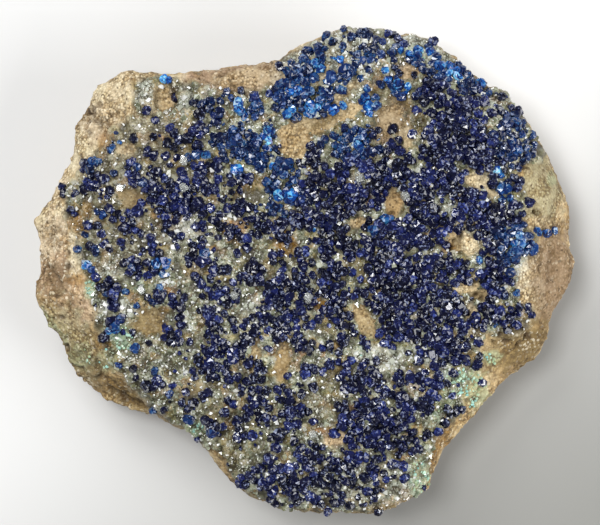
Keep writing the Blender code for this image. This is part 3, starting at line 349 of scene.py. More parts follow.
# Kinoite that stands alone and is easy to pick out, mostly on the left of the face: place, azure share
Single = namedtuple("Single", "x y azure", defaults=(0,))
SINGLES = [Single(*row) for row in (
    (-35.5, 12.2), (-33.4, 11.1), (-34, 8.7), (-33.4, 8.1), (-31.3, 14.6, 0.15), (-30.9, 15.9, 0.2),
    (-30.1, 15.6, 0.15), (-25.2, 15.7), (-24.2, 14.9, 0.1), (-25.2, 12.9), (-24.4, 12.6),
    (-23.6, 12.6, 0.1), (-22.9, 17.3), (-21.9, 21.6), (-23, 23.1), (-17, 16.3, 0.2), (-15.8, 16.8, 0.2),
    (-30.2, 8.4, 0.1), (-29.2, 8.1, 0.4), (-27, 8.3), (-24.4, 8.5), (-31.4, 6.4), (-30.1, 6.4),
    (-32, 5.1, 0.1), (-29.4, 5.2), (-31.2, 3.5), (-30.4, 3.1, 0.1), (-33, 3.1, 0.3), (-28.3, 3.1),
    (-27.6, 14.1, 0.1), (-31.7, 0.7, 0.6), (-31, 0.2, 0.1), (-30.4, -0.9), (-29.6, -2.3), (-28.3, -1.4),
    (-28.8, -3.3, 0.1), (-28, -3.3), (-26.1, -3.1, 0.2), (-25.2, 0.5, 0.1), (-25.6, -0.3), (-27.8, -5.3),
    (-26.8, -6.8, 0.1), (-24.4, -5, 0.2), (-22.1, -4.5, 0.1), (-21.2, -2.4, 0.2), (-28.4, -8.7, 0.4),
    (-27.6, -8.2, 0.3), (-24.7, -11.2, 0.2), (-22.7, -10.6), (-27.1, -13.7, 0.1), (-24.9, -14.2),
    (-24.5, -15.6), (-21.9, -14.5, 0.2), (-23, -16.8), (-21.8, -16.8), (-19.6, -17.9, 0.1),
    (-22.1, -20.3, 0.2), (-20.5, -20.2), (-16.8, -21.4, 0.1), (-13.4, -23.4, 0.1), (-15.7, -24.5),
    (-15.6, -25.6, 0.1), (12.6, 20.4), (29, 26.2, 0.2), (33.6, 5.7, 0.4), (35, 5.4, 0.4),
    (36.2, 5.8, 0.35), (25.6, -16.2), (21.6, -20.4), (30.8, -7.8), (-20.6, 27.8, 1), (-19.9, 27.6, 0.9),
)]

# Blocky white or clear apophyllite that flashes in the light: place and width
Glint = namedtuple("Glint", "x y width")
GLINTS = [Glint(*row) for row in (
    (-27, 11.9, 1), (-31.2, 10.3, 0.9), (-17.6, 14.3, 0.8), (-17.5, 11.3, 1), (14.6, 10.5, 1.1),
    (8.2, 13.8, 1.3), (7.6, 13.2, 0.8), (12.3, 15.5, 1.2), (-13.7, 6.3, 0.7), (-10.2, 7.6, 0.8),
    (-10.2, -3, 0.8), (-0.4, -3.5, 0.9), (-7.2, -18.5, 0.8), (-4.2, -21.9, 0.9), (-10.2, -23.4, 0.8),
    (-2.4, -28.6, 1), (0.2, -28.4, 0.9), (3.2, -30.2, 0.9), (-1.6, -31.4, 1), (20, -9, 0.9),
    (-25, 13.9, 0.8), (-26.6, -5.4, 0.9), (-25.4, -5.9, 0.8), (-18.6, 5.6, 0.9), (-28.9, -5, 1.1),
    (11.6, 29.4, 0.8), (-22.8, 24.8, 0.9), (-21, 26.8, 0.9), (-6.4, -3.8, 0.7), (6.2, 8.2, 0.6),
    (-19.2, 3.4, 0.8), (14.4, 1.6, 0.6),
)]

# The rock's relief: how long its lumps, chips, flakes and pores are, and how high or deep, with the noise
# that a pore starts at and the share of its depth that it has on worn rock
LUMP = 5.5
LUMP_HEIGHT = 0.45
CHIP = 2.6
CHIP_HEIGHT = 0.5
FLAKE = 1.3
FLAKE_HEIGHT = 0.4
CREASE = 0.3
PORE = 1.5
PORE_DEPTH = 1.3
PORE_START = 0.3
WORN_PORES = 0.3
CRACK_DEPTH = 0.9

# How much sand smooths the lumps and hides the dirt and painted shade, and how dark the dirt and painted
# shade in the pores and the hollows of the grit are
SAND_SMOOTHS = 0.7
SAND_HIDES = 0.6
PORE_SHADE_AND_DIRT = 3.5
GRIT_HOLLOW_SHADE = 1.5

# Grit: its length, its height on worn rock, what rough rock and sand add, and where its noise is read
Grit = namedtuple("Grit", "length height rough sand shift")
GRIT = Grit(0.85, 0.1, 0.14, 0.08, 5.0)
FINE_GRIT = Grit(0.42, 0.09, 0.12, 0.11, 9.0)

# The druse's coat: its thickness, the width and rise of its domes, the part of a dome that is at that
# thickness, how round they are, and how narrow the painted shade in the gaps between them is
DRUSE_THICKNESS = 0.5
DRUSE_DOME = 1.25
DOME_RISE = 0.6
DOME_LEVEL = 0.6
DOME_ROUND = 0.7
GAP_NARROWING = 1.5

# The druse's pale patches: their length, and the paleness where they start and over which they grow full
PALE_PATCH = 3.2
PALE_START = 0.45
PALE_FADE = 0.4

# A patch ends at this many times its half size and fades over the next figure; the field's edge fades over
# so many mm. Both wander in and out, over these lengths
PATCH_END = 1.35
PATCH_FADE = 0.6
FIELD_FADE = 1.2
RAGGED = 1.3
FINE_RAGGED = 0.6
CRYSTAL_RAGGED = 1.6

# The balls of kinoite, and the small ones between them: the least distance between two, how many places
# are tried, their radius, how many unlike ones there are, the crystals in each, and how much rarer they are
Balls = namedtuple("Balls", "spacing tries radius kinds crystals rarer")
LARGE = Balls(0.9, 100000, (0.6, 0.96), 26, 5, 0.0)
SMALL = Balls(0.56, 90000, (0.3, 0.46), 16, 3, 0.42)

# How far a small ball keeps from the large ones, how much larger balls are in a crust, how high they sit
# in radii, and the facing of ground that is too steep for them
SMALL_CLEAR = 0.7
CRUST_SWELLING = 1.12
BALL_LIFT = (0.2, 0.6)
STEEP = 0.35

# The share of the places that kinoite takes: usually, in a crust, and what thick patches and clumps add
USUAL_SHARE = 0.37
CRUST_SHARE = 0.99
THICK_SHARE = 0.6
CLUMP = 1.9
CLUMP_SHARE = 0.35

# In a crust, how much of that the clumps add and the thin patches take. Then how azure royal blue is, and
# how far one ball's azure strays from its patch's
CRUST_CLUMPING = 0.6
CRUST_THINNING = 0.75
ROYAL_SHARE = 0.5
AZURE_RANGE = (0.6, 1.15)

# A kinoite blade in a ball of radius 1: half its width and depth, the height of its shoulders and tips,
# and half the length of the ridge at each tip
BLADE_WIDTH = (0.62, 0.76)
BLADE_DEPTH = (0.56, 0.7)
BLADE_SHOULDER = (0.54, 0.68)
BLADE_TIP = 0.98
BLADE_RIDGE = 0.26
BLADE_SIZE = (0.78, 1.05)
BLADE_OFFSET = 0.14

# How closely kinoite crowds: the cells that it is counted in, and the balls per square mm where crowding
# begins and where it is full
CROWD_CELL = 0.6
CROWD_REACH = 45.0
CROWD_LEAST = 0.55
CROWD_MOST = 1.0

# The druse's grains, coarse and fine: the least distance between two, how many places are tried, their
# radius, how bright the druse is where they begin, and how far their tone is left to chance
Grains = namedtuple("Grains", "spacing tries radius least chance")
GRAINS = (Grains(0.68, 60000, (0.28, 0.56), 0.7, 0.3), Grains(0.33, 160000, (0.12, 0.27), 0.25, 0.6))

# A grain of the druse: how many unlike ones there are, half its sides and its lift in radii, how far the
# brightness that it begins at strays, the least druse that it needs, and how far it keeps from the balls
GRAIN_KINDS = 40
GRAIN_HALF = (0.3, 0.95)
GRAIN_LIFT = (-0.2, 0.3)
GRAIN_STRAY = (-0.1, 0.1)
DRUSE_LEAST = 0.35
BALL_CLEAR = 0.42

# How bright the druse is: usually, and what a dome's shade, the pale patches, frost, the painted shade of
# crowding kinoite and the height on a dome add to that
Bright = namedtuple("Bright", "usual dome patch frost crowd height")
BRIGHT = Bright(0.12, 0.6, 0.5, 0.4, -0.3, 0.2)

# A clear block of apophyllite: its prisms' height and how far their corners are cut, the size of the
# largest prism and of the others, how far those are from the middle, and how loosely a block is laid
PRISM_HEIGHT = (0.7, 1.1)
PRISM_CUT = (0.15, 0.6)
PRISM_FIRST = 0.5
PRISM_OTHERS = (0.2, 0.34)
PRISM_REACH = (0.5, 0.5, 0.2)
BLOCK_LOOSENESS = 0.3

# Glints of milky apophyllite: their radius beside their width, their other two sides beside the longest,
# their lift and how loosely they are laid. Then the specks that flash here and there: the least distance
# between two, how many places are tried, their share and width, and how far all keep from the clear blocks
GLINT_RADIUS = 0.6
GLINT_WIDTH = (0.45, 0.8)
GLINT_DEPTH = (0.4, 0.8)
GLINT_LIFT = 0.3
GLINT_LOOSENESS = 0.35
SPECK_SPACING = 0.9
SPECK_TRIES = 14000
SPECK_SHARE = 0.7
SPECK_WIDTH = (0.2, 0.58)
BLOCK_CLEAR = 1.2

# The green beads, which reach past the field's edge: the least distance between two, how many places are
# tried, their radius and lift, how many unlike ones there are and their corners, how much wider than the
# field they are tried, the facing of ground too steep for them, and what the green does to their share
BEAD_SPACING = 0.32
BEAD_TRIES = 60000
BEAD_RADIUS = (0.16, 0.34)
BEAD_LIFT = 0.1
BEAD_KINDS = 10
BEAD_CORNERS = 14
BEAD_FIELD = 1.1
BEAD_STEEP = 0.3
BEAD_GREEN = 1.4
BEAD_MISSING = 0.6

# A height above all of the specimen, to look down from
OVERHEAD = 60.0


def linear(hex_colour):
    """An sRGB colour such as C8A878 as the linear red, green, blue and alpha that a shader takes."""
    channels = [int(hex_colour[i:i + 2], 16) / 255.0 for i in (0, 2, 4)]
    return [c / 12.92 if c <= 0.04045 else ((c + 0.055) / 1.055) ** 2.4 for c in channels] + [1.0]


def ease(value):
    """From 0 to 1 with soft ends."""
    value = np.clip(value, 0.0, 1.0)
    return value * value * (3.0 - 2.0 * value)


def wander(places, length, shift=0.0):
    """Smooth noise, from about -1 to 1, at each place, with lumps of about this length."""
    return np.array([noise.noise(place) for place in (places / length + shift).tolist()])


def druse_domes(places):
    """The domes of the druse, packed side by side: each place's height on its dome, from 0 in the gaps
    to 1 on top, and the dome's own shade, from 0 to 1."""
    heights, shades = [], []
    for place in (places * (1.0, 1.0, 0.0) / DRUSE_DOME).tolist():
        distances, middles = noise.voronoi(place)
        heights.append(distances[0])
        shades.append(noise.cell(middles[0] * 7.3))
    return 1.0 - np.clip(np.array(heights) / DOME_ROUND, 0.0, 1.0) ** 2, 0.5 + 0.5 * np.array(shades)


def cover(x, y, wobble, patches):
    """How strongly some soft-edged patches cover each place; the wobble makes their edges ragged."""
    most = np.zeros_like(x)
    for patch in patches:
        lean = math.radians(patch.turn)
        along = (x - patch.x) * math.cos(lean) + (y - patch.y) * math.sin(lean)
        across = (y - patch.y) * math.cos(lean) - (x - patch.x) * math.sin(lean)
        reach = np.hypot(along / patch.length, across / patch.width) * (1.0 + 0.5 * wobble)
        most = np.maximum(most, patch.strength * ease((PATCH_END - reach) / PATCH_FADE))
    return most


def depth_inside(x, y, loop):
    """The distance of each place from a closed loop, above 0 inside it and below 0 outside."""
    nearest = np.full_like(x, np.inf)
    within = np.zeros(x.shape, bool)
    for (x1, y1), (x2, y2) in zip(loop, loop[1:] + loop[:1]):
        dx, dy = x2 - x1, y2 - y1
        share = np.clip(((x - x1) * dx + (y - y1) * dy) / (dx * dx + dy * dy), 0.0, 1.0)
        nearest = np.minimum(nearest, np.hypot(x - x1 - share * dx, y - y1 - share * dy))
        crosses = ((y1 > y) != (y2 > y)) & (x < x1 + dx * (y - y1) / (dy if dy else 1.0))
        within ^= crosses
    return np.where(within, nearest, -nearest)


def surface_masks(places):
    """The druse, the bare sand and each stain at each place of the face, from 0 to 1, by name."""
    x, y = places[:, 0], places[:, 1]
    flat = places * (1.0, 1.0, 0.0)
    wobble = wander(flat, RAGGED)
    fine = wander(flat, FINE_RAGGED, shift=7.0)
    masks = {name: cover(x, y, wobble + 0.5 * fine, patches) for name, patches in STAINS.items()}
    masks["sand"] = cover(x, y, wobble, SAND)
    field = ease(0.5 + (depth_inside(x, y, FIELD_EDGE) + 0.7 * wobble) / FIELD_FADE)
    masks["druse"] = field * (1.0 - masks["sand"])
    return masks


def soften(points, edges, rounds):
    """Move each point halfway to the middle of its neighbours, some rounds over."""
    count = np.bincount(edges.ravel(), minlength=len(points))[:, None]
    for _ in range(rounds):
        total = np.zeros_like(points)
        np.add.at(total, edges[:, 0], points[edges[:, 1]])
        np.add.at(total, edges[:, 1], points[edges[:, 0]])
        points = 0.5 * (points + total / count)
    return points


def read_vectors(collection, name, count):
    """One vector property of all of a mesh's vertices or edges, as rows."""
    kind = np.int32 if name == "vertices" else np.float64
    values = np.empty(len(collection) * count, kind)
    collection.foreach_get(name, values)
    return values.reshape(-1, count)


def write_masks(mesh, masks, domain="POINT"):
    """Keep one number for each point or face of a mesh, by name, for its material to read."""
    for name, values in masks.items():
        mesh.attributes.new(name, "FLOAT", domain).data.foreach_set("value", values.astype(np.float32))


def put(name, data):
    """A new object in the scene."""
    thing = bpy.data.objects.new(name, data)
    bpy.context.scene.collection.objects.link(thing)
    return thing


def on_plan(places):
    """Places of the face as rows of three, at height 0."""
    return np.array([(x, y, 0.0) for x, y in places])


def even_blank(node):
    """A CAD solid as an even skin of small squares, with its facets softened away."""
    shape = bmesh.new()
    shape.from_mesh(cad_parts[node].data)
    bmesh.ops.remove_doubles(shape, verts=shape.verts, dist=0.001 * MM)
    mesh = bpy.data.meshes.new("blank")
    shape.to_mesh(mesh)
    shape.free()
    blank = put("blank", mesh)
    skin = blank.modifiers.new("even skin", "REMESH")
    skin.mode = "VOXEL"
    skin.voxel_size = ROCK_STEP * MM
    even = bpy.data.meshes.new_from_object(blank.evaluated_get(bpy.context.evaluated_depsgraph_get()))
    bpy.data.objects.remove(blank)

    points = read_vectors(even.vertices, "co", 3) / MM
    edges = read_vectors(even.edges, "vertices", 2)
    resting = points[:, 2] < 0.5 * ROCK_STEP
    points = soften(points, edges, SOFTENING)
    points[resting, 2] = 0.0
    even.vertices.foreach_set("co", (points * MM).ravel())
    even.update()
    return even


def refine_face(mesh):
    """Split the squares of the face in nine, so that the side with the crystals is the finer one."""
    shape = bmesh.new()
    shape.from_mesh(mesh)
    face = [f for f in shape.faces
            if f.normal.z > FACE_FACING and f.calc_center_median().z > FACE_FLOOR * MM]
    edges = list({edge for f in face for edge in f.edges})
    bmesh.ops.subdivide_edges(shape, edges=edges, cuts=FACE_CUTS, use_grid_fill=True)
    bmesh.ops.triangulate(shape, faces=[f for f in shape.faces if len(f.verts) > 4])
    shape.to_mesh(mesh)
    shape.free()


def carve_rock(mesh):
    """Give the rock its broken lumps, gritty grain, pores and druse, and note where each surface lies."""
    places = read_vectors(mesh.vertices, "co", 3) / MM
    normals = read_vectors(mesh.vertices, "normal", 3)
    masks = surface_masks(places)
    facing = ease(normals[:, 2] / FACE_TILT) * ease((places[:, 2] - FACE_FLOOR) / FACE_FADE)
    for name in masks:
        masks[name] = masks[name] * facing
    druse = masks["druse"]
    sand = masks["sand"]
    bare = (1.0 - druse) * (1.0 - SAND_SMOOTHS * sand)
    x, y = places[:, 0], places[:, 1]
    wobble = wander(places * (1.0, 1.0, 0.0), RAGGED)
    rough = np.maximum(cover(x, y, wobble, ROUGH), 1.0 - facing) * bare
    sunk = cover(x, y, 0.7 * wobble, HOLLOWS) * facing
    raised = cover(x, y, 0.7 * wobble, CRESTS) * facing
    cracks = cover(x, y, wobble, CRACKS) * facing

    lumps = LUMP_HEIGHT * wander(places, LUMP) * bare
    chips = CHIP_HEIGHT * (CREASE - np.abs(wander(places, CHIP, shift=3.0))) * rough
    flakes = FLAKE_HEIGHT * (CREASE - np.abs(wander(places, FLAKE, shift=13.0))) * rough
    coarse, fine = ((kind.height + kind.rough * rough + kind.sand * sand)
                    * wander(places, kind.length, kind.shift) for kind in (GRIT, FINE_GRIT))
    pores = np.clip(wander(places, PORE, shift=11.0) - PORE_START, 0.0, 1.0)
    pores = pores * (WORN_PORES + (1.0 - WORN_PORES) * rough) * (1.0 - druse)
    domes, dome_shades = druse_domes(places)
    coat = (DRUSE_THICKNESS + DOME_RISE * (domes - DOME_LEVEL)) * druse
    relief = (lumps + chips + flakes + coarse + fine - PORE_DEPTH * pores + coat - sunk + raised
              - CRACK_DEPTH * cracks)
    relief = relief * ease(places[:, 2] / SEAT_FADE)

    # Dirt and painted shade in the pores, the hollows of the grit and the cracks
    hollow_dirt_and_shade = np.clip(PORE_SHADE_AND_DIRT * pores - GRIT_HOLLOW_SHADE * (coarse + fine), 0.0, 1.0) * (1.0 - SAND_HIDES * sand)
    masks["pore_dirt_and_shade"] = np.maximum(hollow_dirt_and_shade, cracks)
    # Painted shade in the gaps between the druse's domes
    masks["gap"] = druse * np.clip(1.0 - GAP_NARROWING * domes, 0.0, 1.0)
    paleness = dome_shades + 0.5 * wander(places, PALE_PATCH, shift=20.0) + 0.5 * masks["frost"]
    masks["pale"] = druse * ease((paleness - PALE_START) / PALE_FADE) * domes
    masks["rough"] = rough
    points = places + normals * relief[:, None]
    points[:, 2] = np.maximum(points[:, 2], 0.0)
    mesh.vertices.foreach_set("co", (points * MM).ravel())
    write_masks(mesh, masks)
    mesh.update()


def make_rock(finish):
    """The slab of rock with the druse's domes on its face."""
    mesh = even_blank("matrix")
    refine_face(mesh)
    carve_rock(mesh)
    mesh.name = "matrix_rock"
    mesh.shade_smooth()
    mesh.materials.clear()
    mesh.materials.append(finish)
    rock = put("matrix_rock", mesh)
    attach(rock, "root")
    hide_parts("matrix")
    return rock


def crowding(x, y, balls):
    """How closely kinoite stands around each place, from 0 to 1."""
    cells = int(2.0 * CROWD_REACH / CROWD_CELL)
    reach = (-CROWD_REACH, CROWD_REACH)
    counts, _, _ = np.histogram2d([ball[0] for ball in balls], [ball[1] for ball in balls],
                                  bins=cells, range=(reach, reach))
    for _ in range(3):
        counts = sum(np.roll(counts, (i, j), (0, 1)) for i in (-1, 0, 1) for j in (-1, 0, 1)) / 9.0
    column = np.clip(((x + CROWD_REACH) / CROWD_CELL).astype(int), 0, cells - 1)
    row = np.clip(((y + CROWD_REACH) / CROWD_CELL).astype(int), 0, cells - 1)
    return ease((counts[column, row] / CROWD_CELL ** 2 - CROWD_LEAST) / (CROWD_MOST - CROWD_LEAST))


def paint_crowd_shade(rock, balls):
    """Note where kinoite crowds over the rock: there the rock gets painted shade of the crystals above it,
    with a tint of tiny kinoite, but never on bare sand.
    """
    places = read_vectors(rock.data.vertices, "co", 3) / MM
    facing = ease((places[:, 2] - FACE_FLOOR) / FACE_FADE)
    x, y = places[:, 0], places[:, 1]
    clear_of_sand = 1.0 - cover(x, y, np.zeros_like(x), SAND)
    write_masks(rock.data, {"crowd": crowding(x, y, balls) * facing * clear_of_sand})


class Ground:
    """Something seen from straight above: where a line down through a place meets it."""

    def __init__(self, meshes, names):
        corners, faces = [], []
        self.names = []
        for mesh, name in zip(meshes, names):
            first = len(corners)
            corners += [v.co / MM for v in mesh.vertices]
            faces += [[first + i for i in face.vertices] for face in mesh.polygons]
            self.names += [name] * len(mesh.polygons)
        self.tree = BVHTree.FromPolygons(corners, faces)

    def foot(self, x, y):
        """The point and the facing of the surface under a place, or None."""
        place, normal, _, _ = self.tree.ray_cast(Vector((x, y, OVERHEAD)), -UP)
        return None if place is None else (place, normal)

    def name_under(self, x, y):
        """The name of what lies under a place, or None."""
        face = self.tree.ray_cast(Vector((x, y, OVERHEAD)), -UP)[2]
        return None if face is None else self.names[face]


class Heap:
    """Many small crystals, gathered to become one joined mesh."""

    def __init__(self, masks):
        self.corners, self.faces, self.shades = [], [], []
        self.masks = {name: [] for name in masks}
        self.count = 0

    def add(self, kind, place, radius, turn, **masks):
        """One crystal of some kind, turned and set at a place, with what its masks say."""
        corners, faces, shades = kind
        self.corners.append(corners @ turn.T * radius + np.array(place))
        self.faces.append(faces + self.count)
        self.shades.append(shades)
        self.count += len(corners)
        for name, values in self.masks.items():
            values.append(np.full(len(corners), masks.get(name, 0.0)))

    def join(self, name, finish, slot, nodes):
        """The crystals as one piece that rides on the rock and stands for some CAD nodes."""
        mesh = bpy.data.meshes.new(name)
        mesh.from_pydata((np.concatenate(self.corners) * MM).tolist(), [],
                         np.concatenate(self.faces).tolist())
        write_masks(mesh, {mask: np.concatenate(values) for mask, values in self.masks.items()})
        write_masks(mesh, {"shade": np.concatenate(self.shades)}, "FACE")
        mesh.materials.append(finish)
        piece = put(name, mesh)
        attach(piece, "root")
        if nodes:
            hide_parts(*nodes)
        return piece


def closed_hull(corners, dice):
    """The flat-faced solid around some points: its corners, its triangles and a shade for each.

    Each flat side passes light its own way, painted as one random shade, so the triangles of one side share
    one shade.
    """
    shape = bmesh.new()
    for corner in corners:
        shape.verts.new(corner)
    bmesh.ops.convex_hull(shape, input=shape.verts)
    bmesh.ops.delete(shape, geom=[v for v in shape.verts if not v.link_faces], context="VERTS")
    bmesh.ops.triangulate(shape, faces=shape.faces)
    bmesh.ops.recalc_face_normals(shape, faces=shape.faces)
    shape.verts.index_update()
    sides = {}
    shades = [sides.setdefault(tuple(round(n, 1) for n in f.normal), dice.random()) for f in shape.faces]
    hull = (np.array([v.co for v in shape.verts]),
            np.array([[v.index for v in f.verts] for f in shape.faces]), np.array(shades))
    shape.free()
    return hull


def any_turn(dice):
    """A turn in some direction, as the rows of a matrix."""
    angles = [dice.uniform(0.0, math.tau) for _ in range(3)]
    return np.array(Euler(angles).to_matrix())


def kinoite_blade(dice):
    """The corners of one kinoite crystal: a stubby four-sided prism with a chisel at each end."""
    width = dice.uniform(*BLADE_WIDTH)
    depth = dice.uniform(*BLADE_DEPTH)
    shoulder = dice.uniform(*BLADE_SHOULDER)
    sides = [(width, 0.0), (0.0, depth), (-width, 0.0), (0.0, -depth)]
    corners = [(x, y, z) for z in (shoulder, -shoulder) for x, y in sides]
    return corners + [(x, 0.0, z) for z in (BLADE_TIP, -BLADE_TIP) for x in (BLADE_RIDGE, -BLADE_RIDGE)]


def offset(dice, *reaches):
    """A step of up to so far along each axis, either way."""
    return np.array([dice.uniform(-reach, reach) for reach in reaches])


def join_crystals(crystals):
    """Some crystals as one: their corners, their triangles and the shades of those."""
    corners, faces, shades = [], [], []
    count = 0
    for points, sides, tones in crystals:
        corners.append(points)
        faces.append(sides + count)
        shades.append(tones)
        count += len(points)
    return np.concatenate(corners), np.concatenate(faces), np.concatenate(shades)


def kinoite_ball(dice, crystals):
    """A ball of kinoite, of radius 1: several crystals grown through each other."""
    blades = []
    for _ in range(crystals):
        corners, faces, shades = closed_hull(kinoite_blade(dice), dice)
        step = offset(dice, BLADE_OFFSET, BLADE_OFFSET, BLADE_OFFSET)
        blades.append((corners @ any_turn(dice).T * dice.uniform(*BLADE_SIZE) + step, faces, shades))
    return join_crystals(blades)


def druse_grain(dice):
    """A small glassy block of the druse, no two sides alike."""
    corners = [[side * dice.uniform(*GRAIN_HALF) for side in (a, b, c)]
               for a in (-1, 1) for b in (-1, 1) for c in (-1, 1)]
    return closed_hull(corners, dice)


def apophyllite_prism(dice):
    """One blocky apophyllite crystal: a squarish prism with its corners cut off unevenly."""
    height = dice.uniform(*PRISM_HEIGHT)
    corners = []
    for a in (-1, 1):
        for b in (-1, 1):
            for c in (-1, 1):
                cut = dice.uniform(*PRISM_CUT)
                corners += [(a * (1.0 - cut), b, c * height), (a, b * (1.0 - cut), c * height),
                            (a, b, c * height * (1.0 - cut))]
    return closed_hull(corners, dice)


def apophyllite_block(dice):
    """A clear block: one prism, 1 across, with three smaller ones grown on its sides."""
    corners, faces, shades = apophyllite_prism(dice)
    prisms = [(corners * PRISM_FIRST, faces, shades)]
    for _ in range(3):
        corners, faces, shades = apophyllite_prism(dice)
        step = offset(dice, *PRISM_REACH)
        prisms.append((corners @ any_turn(dice).T * dice.uniform(*PRISM_OTHERS) + step, faces, shades))
    return join_crystals(prisms)


def apophyllite_chip(dice):
    """A small flat-sided chip of apophyllite, longer than it is wide."""
    corners, faces, shades = druse_grain(dice)
    return corners * (1.0, dice.uniform(*GLINT_WIDTH), dice.uniform(*GLINT_DEPTH)), faces, shades


def even_scatter(loop, spacing, tries, dice, kept=()):
    """The kept places, then others inside a loop, each at random and at least the spacing from the rest."""
    lowest = np.min(loop, axis=0)
    highest = np.max(loop, axis=0)
    candidates = np.array([[dice.uniform(a, b) for a, b in zip(lowest, highest)] for _ in range(tries)])
    candidates = candidates[depth_inside(candidates[:, 0], candidates[:, 1], loop) > 0.0]
    cells = {}
    found = []
    for x, y in list(kept) + candidates.tolist():
        column, row = int(x // spacing), int(y // spacing)
        near = (place for i in (-1, 0, 1) for j in (-1, 0, 1)
                for place in cells.get((column + i, row + j), ()))
        if len(found) < len(kept) or all(math.hypot(x - nx, y - ny) >= spacing for nx, ny in near):
            cells.setdefault((column, row), []).append((x, y))
            found.append((x, y))
    return found


def kinoite_places(dice, crusts, balls, singles):
    """Where kinoite stands: x, y, its radius, how azure it is, and the CAD node that it belongs to."""
    given = {(single.x, single.y): single.azure for single in singles}
    places = even_scatter(FIELD_EDGE, balls.spacing, balls.tries, dice, kept=list(given))
    flat = on_plan(places)
    x, y = flat[:, 0], flat[:, 1]
    wobble = wander(flat, CRYSTAL_RAGGED)
    clumping = CLUMP_SHARE * wander(flat, CLUMP, shift=4.0)
    share = USUAL_SHARE + clumping + THICK_SHARE * cover(x, y, wobble, THICK)
    nodes = [crusts.name_under(*place) for place in places]
    crusted = np.array([node is not None for node in nodes])
    crust_share = np.maximum(share, CRUST_SHARE + CRUST_CLUMPING * clumping)
    share = np.where(crusted, crust_share, share) - balls.rarer
    share *= 1.0 - cover(x, y, wobble, THIN) * np.where(crusted, CRUST_THINNING, 1.0)
    share *= 1.0 - cover(x, y, 0.5 * wobble, SAND)
    azure = np.maximum(cover(x, y, wobble, AZURE), ROYAL_SHARE * cover(x, y, wobble, ROYAL))
    chosen = []
    for i, place in enumerate(places):
        draw = dice.random()
        radius = dice.uniform(*balls.radius)
        glow = dice.uniform(*AZURE_RANGE)
        if place in given:
            chosen.append((*place, radius, given[place], nodes[i]))
        elif draw < share[i]:
            chosen.append((*place, radius, azure[i] * glow, nodes[i]))
    return chosen


def piece_of(node):
    """The piece that a ball of kinoite on this CAD node is joined to."""
    if node is None:
        return "kinoite_singles"
    if node.startswith("kinoite_crust"):
        return node.replace("kinoite_crust", "kinoite") + "_crystals"
    return "kinoite_clump_crystals"


def make_kinoite(ground, finish, dice):
    """All the kinoite, one piece for each crust, one for the clumps and one for what stands alone."""
    nodes = sorted(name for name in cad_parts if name.startswith("kinoite"))
    crusts = Ground([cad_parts[name].data for name in nodes], nodes)
    large = kinoite_places(dice, crusts, LARGE, SINGLES)
    small = kinoite_places(dice, crusts, SMALL, ())
    middles = np.array([(x, y) for x, y, *_ in large])
    small = [ball for ball in small
             if np.min(np.hypot(middles[:, 0] - ball[0], middles[:, 1] - ball[1])) > SMALL_CLEAR]
    large_kinds, small_kinds = ([kinoite_ball(dice, balls.crystals) for _ in range(balls.kinds)]
                                for balls in (LARGE, SMALL))
    heaps = {piece_of(node): Heap(("tone", "azure")) for node in [None] + nodes}
    for kinds, balls in ((large_kinds, large), (small_kinds, small)):
        for x, y, radius, azure, node in balls:
            foot = ground.foot(x, y)
            if foot is None or foot[1].z < STEEP:
                continue
            place, normal = foot
            if node is not None:
                radius *= CRUST_SWELLING
            lift = radius * dice.uniform(*BALL_LIFT)
            heaps[piece_of(node)].add(dice.choice(kinds), place + normal.lerp(UP, 0.5) * lift, radius,
                                      any_turn(dice), tone=dice.random(), azure=min(max(azure, 0.0), 1.0))
    azure_pieces = ("kinoite_crown_crystals", "kinoite_shoulder_crystals")
    for name, heap in heaps.items():
        stands_for = [node for node in nodes if piece_of(node) == name]
        slot = "kinoite_azure" if name in azure_pieces else "kinoite_blue"
        heap.join(name, finish, slot, stands_for)
    return large


def make_druse(ground, balls, finish, dice):
    """The glassy druse between the balls: patches of coarse blocks with finer grains around them."""
    hidden = np.array([(x, y) for x, y, *_ in balls])
    kinds = [druse_grain(dice) for _ in range(GRAIN_KINDS)]
    heap = Heap(("tone",) + tuple(STAINS))
    for grains in GRAINS:
        places = even_scatter(FIELD_EDGE, grains.spacing, grains.tries, dice)
        flat = on_plan(places)
        masks = surface_masks(flat)
        heights, shades = druse_domes(flat)
        bright = (BRIGHT.dome * shades + BRIGHT.patch * wander(flat, PALE_PATCH, shift=20.0)
                  + BRIGHT.frost * masks["frost"] + BRIGHT.usual)
        # Painted shade: grains are darker where kinoite crowds over them
        bright += BRIGHT.crowd * crowding(flat[:, 0], flat[:, 1], balls)
        domed = bright + BRIGHT.height * heights
        for i, (x, y) in enumerate(places):
            if masks["druse"][i] < DRUSE_LEAST or domed[i] < grains.least + dice.uniform(*GRAIN_STRAY):
                continue
            foot = ground.foot(x, y)
            if foot is None or np.min(np.hypot(hidden[:, 0] - x, hidden[:, 1] - y)) < BALL_CLEAR:
                continue
            radius = dice.uniform(*grains.radius)
            here = {name: float(masks[name][i]) for name in STAINS}
            shared = (1.0 - grains.chance) * bright[i] * (0.5 + 0.5 * heights[i])
            tone = grains.chance * dice.random() + shared
            heap.add(dice.choice(kinds), foot[0] + UP * radius * dice.uniform(*GRAIN_LIFT), radius,
                     any_turn(dice), tone=min(max(tone, 0.0), 1.0), **here)
    return heap.join("apophyllite_druse", finish, "matrix", ())


def toward_light(dice, looseness):
    """A turn that lays a crystal's flat end about halfway between straight up and the key light."""
    halfway = (UP + Vector(KEY_LIGHT).normalized()).normalized()
    loose = Vector(offset(dice, looseness, looseness, looseness))
    lean = UP.rotation_difference((halfway + loose).normalized()).to_matrix()
    return np.array(lean @ Matrix.Rotation(dice.uniform(0.0, math.tau), 3, "Z"))


